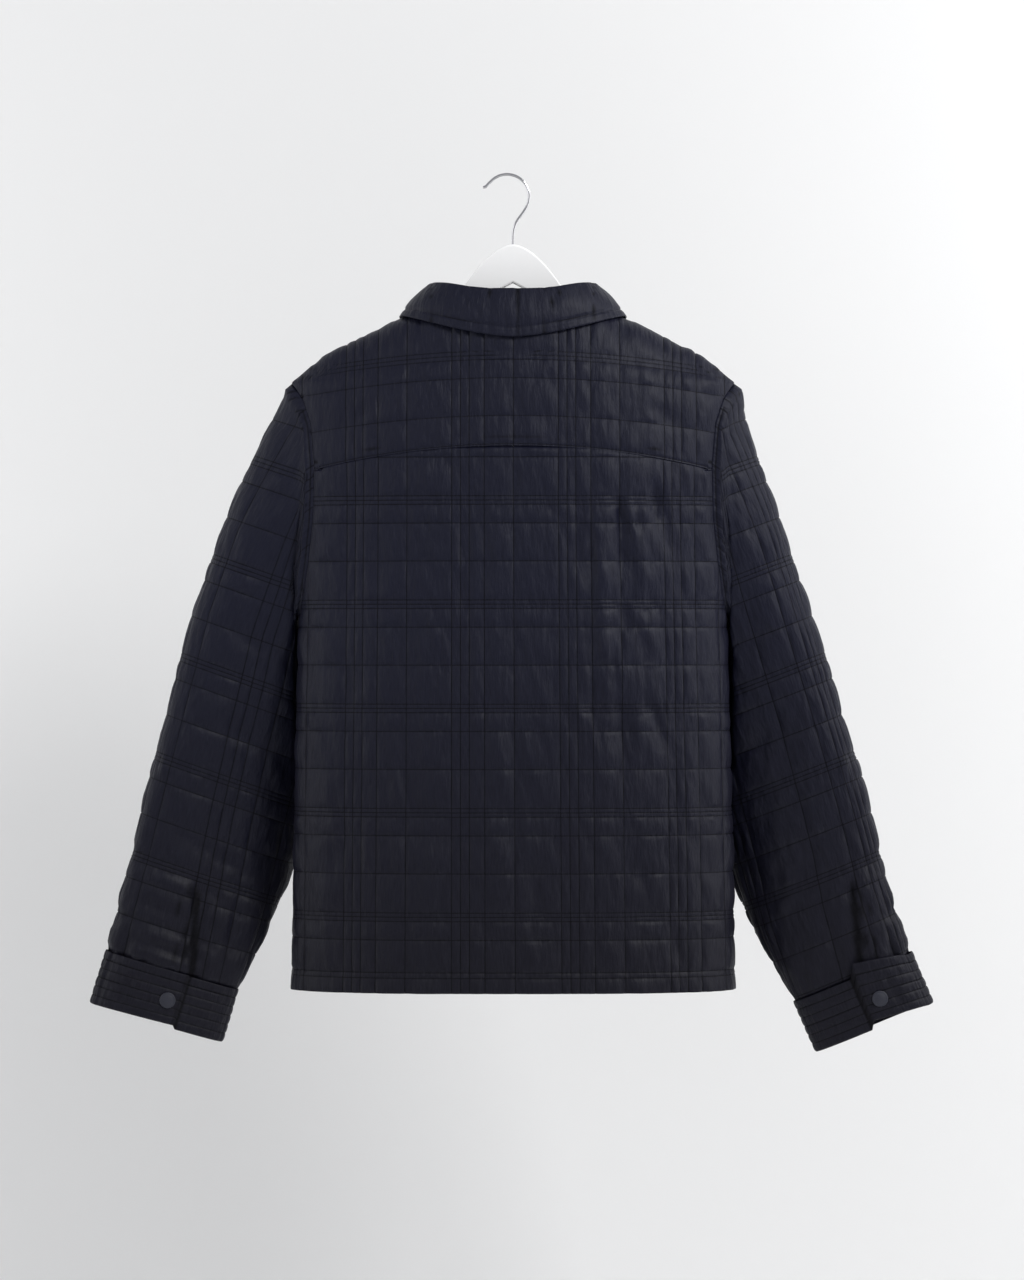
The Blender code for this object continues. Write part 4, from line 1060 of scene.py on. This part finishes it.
class Graph:
    """The node tree of one material, and one method that makes any node in it."""

    def __init__(self, name):
        self.material = bpy.data.materials.new(name)
        self.material.use_nodes = True
        self.tree = self.material.node_tree
        self.tree.nodes.clear()

    def node(self, kind, options, inputs):
        made = self.tree.nodes.new(kind)
        for key, value in options.items():
            setattr(made, key, value)
        for key, value in inputs.items():
            if isinstance(value, Field):
                self.tree.links.new(value.socket, made.inputs[key])
            else:
                made.inputs[key].default_value = value
        return Node(self, made)

    def noise(self, where, scale, detail=2.0):
        inputs = {"Vector": where, "Scale": scale, "Detail": detail}
        return self.node("ShaderNodeTexNoise", {}, inputs).out("Fac")

    def stretch(self, where, scales):
        return self.node("ShaderNodeVectorMath", {"operation": "MULTIPLY"}, {0: where, 1: scales}).out()

    def mix(self, share, first, second):
        inputs = {0: share, MIX_FIRST: first, MIX_SECOND: second}
        return self.node("ShaderNodeMix", {"data_type": "RGBA"}, inputs).out(MIX_RESULT)

    def finish(self, inputs):
        shader = self.node("ShaderNodeBsdfPrincipled", {}, inputs)
        self.node("ShaderNodeOutputMaterial", {}, {"Surface": shader.out()})
        return self.material


def colour(values):
    return (*values, 1.0)


def navy_cloth():
    """Padded navy satin taffeta: fine vertical streaks, near-black stitches with painted shade in their
    grooves, painted shade that darkens it low down, and a painted sheen tint at grazing angles.
    """
    if "navy_satin" in bpy.data.materials:
        return bpy.data.materials["navy_satin"]
    look = settings()
    graph = Graph("navy_satin")
    cloth = graph.node("ShaderNodeUVMap", {"uv_map": "cloth"}, {}).out()
    place = graph.node("ShaderNodeTexCoord", {}, {}).out("Object")
    axes = graph.node("ShaderNodeSeparateXYZ", {}, {"Vector": place})
    sewn_and_shade = graph.node("ShaderNodeAttribute", {"attribute_name": "sewn_and_shade"}, {}).out("Fac")
    streak = graph.noise(graph.stretch(cloth, (1.0, 0.045, 1.0)), 1500.0, 3.0)
    slub = graph.noise(graph.stretch(cloth, (1.0, 0.12, 1.0)), 420.0, 2.0)
    weft = graph.noise(graph.stretch(cloth, (0.08, 1.0, 1.0)), 2400.0, 2.0)
    # Painted shade: this mask darkens the cloth's colour from the chest down toward the hem.
    low = ((axes.out("Z") * -1.0 - 0.42) * 2.6).clamp()
    # Painted sheen: a warmer grey tint is mixed in where the cloth is seen at grazing angles.
    facing = graph.node("ShaderNodeLayerWeight", {}, {"Blend": 0.35}).out("Facing")
    blue = graph.mix(low, colour(look.cloth_upper_lit), colour(look.cloth_lower_shaded))
    with_grazing_sheen = graph.mix((facing ** 2.0) * 0.55, blue, colour(look.cloth_grazing_sheen))
    pale = graph.mix((streak * 1.3 - 0.45).clamp() * 0.28, with_grazing_sheen, colour(look.cloth_streak))
    dashes = graph.noise(cloth, 300.0, 1.0)
    # Painted shade: the stitched lines are darkened to near-black, as thread with shade painted into their
    # grooves.
    thread_and_shade = (sewn_and_shade - 0.25 + (dashes - 0.5) * 0.3).clamp()
    base = graph.mix((thread_and_shade * 1.5).clamp() * 0.8, pale, colour(look.stitch))
    rough = look.roughness + (slub - 0.5) * 0.22 + thread_and_shade * 0.2
    crumple = graph.noise(graph.stretch(cloth, (1.0, 0.26, 1.0)), 150.0, 5.0)
    folds = graph.node("ShaderNodeBump", {}, {"Strength": 1.0, "Distance": 0.0036, "Height": crumple})
    gloss = ((1.25 - thread_and_shade * 1.6) * (streak * 1.1 + 0.35) * look.sheen_level).clamp()
    relief = streak * 0.55 + slub * 0.5 + weft * 0.35 - thread_and_shade * 1.2
    inputs = {"Strength": 0.42, "Distance": 0.00035, "Height": relief, "Normal": folds.out("Normal")}
    bump = graph.node("ShaderNodeBump", {}, inputs)
    return graph.finish(
        {
            "Base Color": base,
            "Roughness": rough,
            "Normal": bump.out("Normal"),
            "Specular IOR Level": 0.1,
            "Coat Weight": gloss,
            "Coat Roughness": 0.5,
            "Coat Tint": (0.80, 0.85, 1.0, 1.0),
        }
    )


def plain(name, base, rough, metal=0.0, grain=0.0, scale=600.0):
    """A nearly even finish with a faint grain in its roughness and surface."""
    if name in bpy.data.materials:
        return bpy.data.materials[name]
    graph = Graph(name)
    place = graph.node("ShaderNodeTexCoord", {}, {}).out("Object")
    speck = graph.noise(place, scale, 3.0)
    bump = graph.node("ShaderNodeBump", {}, {"Strength": grain, "Distance": 0.0002, "Height": speck})
    shade = graph.mix(speck * 0.25, colour(base), colour([v * 0.88 for v in base]))
    return graph.finish(
        {
            "Base Color": shade,
            "Roughness": (speck - 0.5) * 0.1 + rough,
            "Metallic": metal,
            "Normal": bump.out("Normal"),
        }
    )


def lathe(name, seat, out, profile, finish, count=48):
    """A round piece turned about the line through seat along out; profile rows are radius and height."""
    out = np.asarray(out, float) / np.linalg.norm(out)
    side = np.cross(out, [0.0, 0.0, 1.0])
    side /= np.linalg.norm(side)
    up = np.cross(side, out)
    points = []
    for radius, height in profile:
        for k in range(count):
            turn = tau * k / count
            points.append(seat + (side * cos(turn) + up * sin(turn)) * radius + out * height)
    faces = []
    for r in range(len(profile) - 1):
        for k in range(count):
            j = (k + 1) % count
            faces.append((r * count + k, r * count + j, (r + 1) * count + j, (r + 1) * count + k))
    faces.append(tuple(reversed(range(count))))
    last = (len(profile) - 1) * count
    faces.append(tuple(range(last, last + count)))
    return solid_piece(name, points, faces, finish)


def solid_piece(name, points, faces, finish, smooth=True):
    """A closed piece of the hanger or the snaps, from points in millimetres."""
    mesh = bpy.data.meshes.new(name)
    mesh.from_pydata((np.array(points) * MM).tolist(), [], faces)
    mesh.update()
    whole = bmesh.new()
    whole.from_mesh(mesh)
    bmesh.ops.recalc_face_normals(whole, faces=whole.faces)
    whole.to_mesh(mesh)
    whole.free()
    mesh.materials.append(finish)
    if smooth:
        mesh.shade_smooth()
    return put(name, mesh)


# Radius and height of a snap's cap, from its rim to its middle
SNAP_PROFILE = (
    (7.6, 0.0), (8.0, 0.2), (8.0, 0.9), (7.6, 1.35), (6.9, 1.5), (6.3, 1.42), (5.8, 1.5),
    (4.6, 1.95), (3.0, 2.25), (1.4, 2.38), (0.3, 2.4),
)


def snap_caps():
    """The cap of each snap, on the point and in the direction of its solid."""
    finish = plain("snap_cap", settings().snap, 0.5, grain=0.25, scale=1500.0)
    for name, table, sign, share in (
        ("cuff_snap_left", SLEEVE_LEFT, -1.0, 0.52),
        ("cuff_snap_right", SLEEVE_RIGHT, 1.0, 0.36),
    ):
        centre, wide, thick, down = sleeve_end(table)
        angle = np.arccos(1.0 - 2.0 * share)
        out = wide * cos(angle) / np.linalg.norm(wide) ** 2 + thick * sin(angle) / np.linalg.norm(thick) ** 2
        out /= np.linalg.norm(out)
        seat = centre + wide * cos(angle) + thick * sin(angle) ** 0.85 + down * CUFF_HEIGHT * 0.52
        seat = seat + out * (CUFF_OUT + FLAP_STEP + 1.2)
        flip = np.array([sign, 1.0, 1.0])
        seat = seat * flip + np.array([CENTRE_X, 0.0, 0.0])
        piece = lathe(name + "_cap", seat, out * flip, SNAP_PROFILE, finish)
        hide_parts(name)
    for k, z in enumerate(np.linspace(-284.0, -764.0, 6)):
        depth = float(torso_depth(np.array(0.0), z)) + LAP_LIFT + 0.7
        seat = np.array([CENTRE_X, depth, z])
        name = f"front_snap_{k + 1}"
        piece = lathe(name + "_cap", seat, (0.0, 1.0, 0.0), SNAP_PROFILE, finish)
        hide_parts(name)


HANGER_THICK = 12.0
HANGER_HALF = 190.0
HANGER_PEAK = -68.9
PEAK_HALF = 48.0      # the peak above the collar ends this far out
PEAK_DROP = 41.0
HANGER_NOTCH = -107.3
HANGER_UNDER = 0.53   # fall of the under side for each millimetre out
HANGER_CHAMFER = 2.0
HANGER_SETTLE = 1.7
HANGER_DIP = 8.5
HANGER_ROOM = 12.0    # the torso is this deep where the wood carries it


def hanger_top(x):
    """Height of the wood's upper edge: a peak over the collar, then arms just inside the shoulders."""
    away = abs(x)
    if away <= PEAK_HALF:
        return HANGER_PEAK - PEAK_DROP * (away / PEAK_HALF) ** 1.75
    if away < NECK_TURN:
        low = HANGER_PEAK - PEAK_DROP
        return low + (hanger_top(NECK_TURN) - low) * (away - PEAK_HALF) / (NECK_TURN - PEAK_HALF)
    down = np.arange(0.0, 60.0, 0.2)
    z = float(ridge(x)) - down
    k = int(np.argmax(torso_depth(np.full_like(z, x), z) >= HANGER_ROOM))
    return z[k] - HANGER_SETTLE - HANGER_DIP * min(max((112.0 - away) / 24.0, 0.0), 1.0)


def hanger_body():
    """The flat wooden hanger, with eased edges and its notch above the collar."""
    places = np.linspace(-HANGER_HALF, HANGER_HALF, 121)
    half = HANGER_THICK / 2
    ease = HANGER_CHAMFER * np.array([(0.0, 1.0), (0.29, 0.29), (1.0, 0.0)])
    points = []
    for x in places:
        high = hanger_top(x)
        low = HANGER_NOTCH - HANGER_UNDER * abs(x)
        close = 1.0 - 0.35 * max(abs(x) / HANGER_HALF - 0.96, 0.0) / 0.04
        middle = (high + low) / 2
        high, low = middle + (high - middle) * close, middle + (low - middle) * close
        outline = [(-half + a, high - b) for a, b in ease] + [(half - a, high - b) for a, b in ease[::-1]]
        outline += [(half - a, low + b) for a, b in ease] + [(-half + a, low + b) for a, b in ease[::-1]]
        points += [(CENTRE_X - 0.2 + x, y, z) for y, z in outline]
    around = 4 * len(ease)
    faces = []
    for k in range(len(places) - 1):
        for i in range(around):
            j = (i + 1) % around
            faces.append((around * k + i, around * k + j, around * k + around + j, around * k + around + i))
    faces.append(tuple(range(around)))
    faces.append(tuple(range(around * (len(places) - 1), around * len(places))))
    finish = plain("painted_wood", settings().wood, 0.42, grain=0.12, scale=220.0)
    piece = solid_piece("hanger_wood", points, faces, finish, smooth=False)
    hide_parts("hanger_body")


HOOK_RADIUS = 22.0
WIRE_RADIUS = 1.5


def hook_route():
    """The middle line of the wire: tail, arc, swing back and stem, as x and z."""
    middle = WIRE_RADIUS - HOOK_RADIUS
    route = [(-24.0, middle + 9.0), (-22.2, middle + 9.1), (-20.4, middle + 10.5), (-18.4, middle + 13.0)]
    for angle in np.arange(138.0, -2.0, -4.0):
        turn = radians(angle)
        route.append((HOOK_RADIUS * cos(turn), middle + HOOK_RADIUS * sin(turn)))
    route += [(21.6, -24.5), (20.2, -29.5), (17.6, -34.5), (14.4, -39.0), (11.0, -43.4), (8.0, -48.6)]
    route += [(6.2, -54.5), (5.7, -61.0), (5.7, -68.6)]
    return np.array(route)


def hook_wire():
    """The bent wire as one smooth tube."""
    route = hook_route()
    curve = bpy.data.curves.new("hook_chrome", "CURVE")
    curve.dimensions = "3D"
    curve.bevel_depth = WIRE_RADIUS * MM
    curve.bevel_resolution = 6
    curve.use_fill_caps = True
    spline = curve.splines.new("NURBS")
    spline.points.add(len(route) - 1)
    for point, (x, z) in zip(spline.points, route):
        point.co = (x * MM, 0.0, z * MM, 1.0)
    spline.order_u = 3
    spline.use_endpoint_u = True
    spline.resolution_u = 6
    curve.materials.append(plain("chrome", settings().chrome, 0.14, metal=1.0, grain=0.0))
    made = bpy.data.objects.new("hook_chrome", curve)
    bpy.context.scene.collection.objects.link(made)
    mesh = bpy.data.meshes.new_from_object(made)
    bpy.data.objects.remove(made)
    mesh.shade_smooth()
    piece = put("hook_chrome_wire", mesh)
    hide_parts("hook_wire")


def colour_setting(name, description, default):
    """A colour that the user can change."""
    return FloatVectorProperty(name=name, description=description, default=default, size=3, subtype="COLOR")


def power_setting(name, description, default):
    """A light's power that the user can change."""
    return FloatProperty(name=name, description=description, default=default, min=0.0, unit="POWER")


def share_setting(name, description, default):
    """A value from 0 to 1 that the user can change."""
    return FloatProperty(
        name=name, description=description, default=default, min=0.0, max=1.0, subtype="FACTOR"
    )


class ShacketSettings(bpy.types.PropertyGroup):
    """Sizes and colours that a user would change"""

    puff: FloatProperty(
        name="Puff", description="Height of the padding between sewn lines", default=0.0019, min=0.0,
        subtype="DISTANCE", unit="LENGTH",
    )
    roughness: share_setting("Roughness", "Mean roughness of the cloth", 0.5)
    sheen_level: share_setting("Satin", "Strength of the cloth's satin highlights", 0.17)
    # The two cloth colours are one navy, lit and shaded: the lower one is painted shade low down.
    cloth_upper_lit: colour_setting("Cloth, upper", "Colour of the cloth on the chest", (0.0050, 0.0056, 0.0155))
    cloth_lower_shaded: colour_setting("Cloth, lower", "Colour of the cloth low down", (0.0034, 0.0030, 0.0074))
    # Painted sheen: the tint mixed into the cloth at grazing angles.
    cloth_grazing_sheen: colour_setting("Cloth, grazing", "Its colour at grazing angles", (0.0056, 0.0044, 0.0070))
    cloth_streak: colour_setting("Cloth, streaks", "Colour of the paler yarns", (0.016, 0.018, 0.036))
    # Near-black for the stitched lines: thread colour with painted shade in their grooves.
    stitch: colour_setting("Stitches", "Colour of the sewn lines", (0.0006, 0.0006, 0.0012))
    snap: colour_setting("Snaps", "Colour of the snap caps", (0.0100, 0.0112, 0.0225))
    wood: colour_setting("Wood", "Colour of the painted hanger", (0.97, 0.97, 0.97))
    chrome: colour_setting("Chrome", "Colour of the hook", (0.62, 0.62, 0.64))
    wall: colour_setting("Backdrop", "Colour of the backdrop and floor", (0.80, 0.80, 0.80))
    key_power: power_setting("Key light", "Power of the main soft light", 64.0)
    fill_power: power_setting("Fill light", "Power of the soft light from the left", 11.0)
    wall_power: power_setting("Wall light", "Power of the light on the backdrop", 15.0)


def stage_plane(name, corners, finish):
    """One flat face of the backdrop or floor."""
    mesh = bpy.data.meshes.new(name)
    mesh.from_pydata(corners, [], [(0, 1, 2, 3)])
    mesh.update()
    mesh.materials.append(finish)
    made = bpy.data.objects.new(name, mesh)
    bpy.context.scene.collection.objects.link(made)


def area_light(name, place, target, size, watts):
    """A soft light at a place, turned to a target."""
    data = bpy.data.lights.new(name, "AREA")
    data.shape = "RECTANGLE"
    data.size, data.size_y = size
    data.energy = watts
    lamp = bpy.data.objects.new(name, data)
    bpy.context.scene.collection.objects.link(lamp)
    lamp.location = place
    lamp.rotation_euler = (Vector(target) - Vector(place)).to_track_quat("-Z", "Y").to_euler()


WALL_Y = 0.62
FLOOR_Z = -1.6
WIDE = 6.0            # the stage reaches this far to each side
TALL = 4.0
SKY = (0.96, 0.97, 1.0, 1.0)
SKY_STRENGTH = 0.42
CAMERA = (0.0049, -4.0, -0.4643)
LENS = 140.6


def studio():
    """A plain pale wall and floor, soft lights, and the camera at the photo's angle."""
    look = settings()
    wall = plain("backdrop_paper", look.wall, 0.9, grain=0.0)
    left, right, near = -WIDE, WIDE, -WIDE
    upright = [(left, WALL_Y, -TALL), (right, WALL_Y, -TALL), (right, WALL_Y, TALL), (left, WALL_Y, TALL)]
    stage_plane("backdrop", upright, wall)
    level = [(left, near, FLOOR_Z), (right, near, FLOOR_Z), (right, WALL_Y, FLOOR_Z), (left, WALL_Y, FLOOR_Z)]
    stage_plane("floor", level, wall)
    area_light("key", (1.9, -2.1, 1.3), (0.0, 0.0, -0.4), (1.0, 1.0), look.key_power)
    area_light("fill", (-2.2, -2.0, 0.3), (0.0, 0.0, -0.5), (1.8, 1.8), look.fill_power)
    area_light("wall_right", (1.8, -0.1, -0.2), (0.3, WALL_Y, -0.6), (0.8, 2.2), look.wall_power)
    area_light("wall_left", (-1.8, -0.1, -0.2), (-0.3, WALL_Y, -0.6), (0.8, 2.2), look.wall_power * 0.7)
    world = bpy.data.worlds.new("studio")
    world.use_nodes = True
    sky = world.node_tree.nodes["Background"]
    sky.inputs["Color"].default_value = SKY
    sky.inputs["Strength"].default_value = SKY_STRENGTH
    scene = bpy.context.scene
    scene.world = world
    scene.view_settings.view_transform = "Standard"
    data = bpy.data.cameras.new("camera")
    data.sensor_fit = "HORIZONTAL"
    data.sensor_width = 36.0
    data.lens = LENS
    data.clip_end = 50.0
    camera = bpy.data.objects.new("camera", data)
    scene.collection.objects.link(camera)
    camera.location = CAMERA
    camera.rotation_euler = (pi / 2, 0.0, 0.0)
    scene.camera = camera


class SHACKET_OT_back(bpy.types.Operator):
    """Build the back panel and the yoke"""

    bl_idname = "shacket.back"
    bl_label = "Back and yoke"

    def execute(self, context):
        back_panel()
        yoke()
        return {"FINISHED"}


class SHACKET_OT_fronts(bpy.types.Operator):
    """Build the two front panels"""

    bl_idname = "shacket.fronts"
    bl_label = "Front panels"

    def execute(self, context):
        front_panel("front_left_cloth", "front_left", -1.0, LAP_LIFT, 13)
        front_panel("front_right_cloth", "front_right", 1.0, 0.0, 17)
        return {"FINISHED"}


class SHACKET_OT_sleeves(bpy.types.Operator):
    """Build the two sleeves"""

    bl_idname = "shacket.sleeves"
    bl_label = "Sleeves"

    def execute(self, context):
        sleeve("sleeve_left_cloth", "sleeve_left", SLEEVE_LEFT, -1.0, 77.0, 21, (74.0, -682.0, 83.0))
        sleeve("sleeve_right_cloth", "sleeve_right", SLEEVE_RIGHT, 1.0, 14.0, 25, (45.0, -687.0, 58.0))
        return {"FINISHED"}


class SHACKET_OT_cuffs(bpy.types.Operator):
    """Build the two cuffs"""

    bl_idname = "shacket.cuffs"
    bl_label = "Cuffs"

    def execute(self, context):
        cuff("cuff_left_cloth", "cuff_left", SLEEVE_LEFT, -1.0, 0.63, 4.0, 1.0, 41)
        cuff("cuff_right_cloth", "cuff_right", SLEEVE_RIGHT, 1.0, 0.51, 9.0, 16.0, 43)
        return {"FINISHED"}


class SHACKET_OT_collar(bpy.types.Operator):
    """Build the collar's stand and fall"""

    bl_idname = "shacket.collar"
    bl_label = "Collar"

    def execute(self, context):
        collar_stand()
        collar_fall()
        return {"FINISHED"}


class SHACKET_OT_snaps(bpy.types.Operator):
    """Build the caps of the snaps"""

    bl_idname = "shacket.snaps"
    bl_label = "Snaps"

    def execute(self, context):
        snap_caps()
        return {"FINISHED"}


class SHACKET_OT_hanger(bpy.types.Operator):
    """Build the wooden hanger and its chrome hook"""

    bl_idname = "shacket.hanger"
    bl_label = "Hanger and hook"

    def execute(self, context):
        hanger_body()
        hook_wire()
        return {"FINISHED"}


class SHACKET_OT_studio(bpy.types.Operator):
    """Set up the backdrop, the lights and the camera"""

    bl_idname = "shacket.studio"
    bl_label = "Studio"

    def execute(self, context):
        studio()
        return {"FINISHED"}


OPERATORS = (
    SHACKET_OT_back,
    SHACKET_OT_fronts,
    SHACKET_OT_sleeves,
    SHACKET_OT_cuffs,
    SHACKET_OT_collar,
    SHACKET_OT_snaps,
    SHACKET_OT_hanger,
    SHACKET_OT_studio,
)


class SHACKET_PT_panel(bpy.types.Panel):
    """Lists the pieces of the shacket and its looks"""

    bl_label = "Quilted shacket"
    bl_idname = "SHACKET_PT_panel"
    bl_space_type = "VIEW_3D"
    bl_region_type = "UI"
    bl_category = "Shacket"

    def draw(self, context):
        column = self.layout.column()
        for name in ShacketSettings.__annotations__:
            column.prop(context.scene.shacket, name)
        for operator in OPERATORS:
            column.operator(operator.bl_idname)


def register():
    for made in (ShacketSettings, *OPERATORS, SHACKET_PT_panel):
        bpy.utils.register_class(made)
    bpy.types.Scene.shacket = PointerProperty(type=ShacketSettings)


def unregister():
    del bpy.types.Scene.shacket
    for made in (SHACKET_PT_panel, *reversed(OPERATORS), ShacketSettings):
        bpy.utils.unregister_class(made)


def main():
    register()
    bpy.ops.shacket.back()
    bpy.ops.shacket.fronts()
    bpy.ops.shacket.sleeves()
    bpy.ops.shacket.cuffs()
    bpy.ops.shacket.collar()
    bpy.ops.shacket.snaps()
    bpy.ops.shacket.hanger()
    bpy.ops.shacket.studio()
    bpy.context.view_layer.update()


if __name__ == "__main__":
    main()
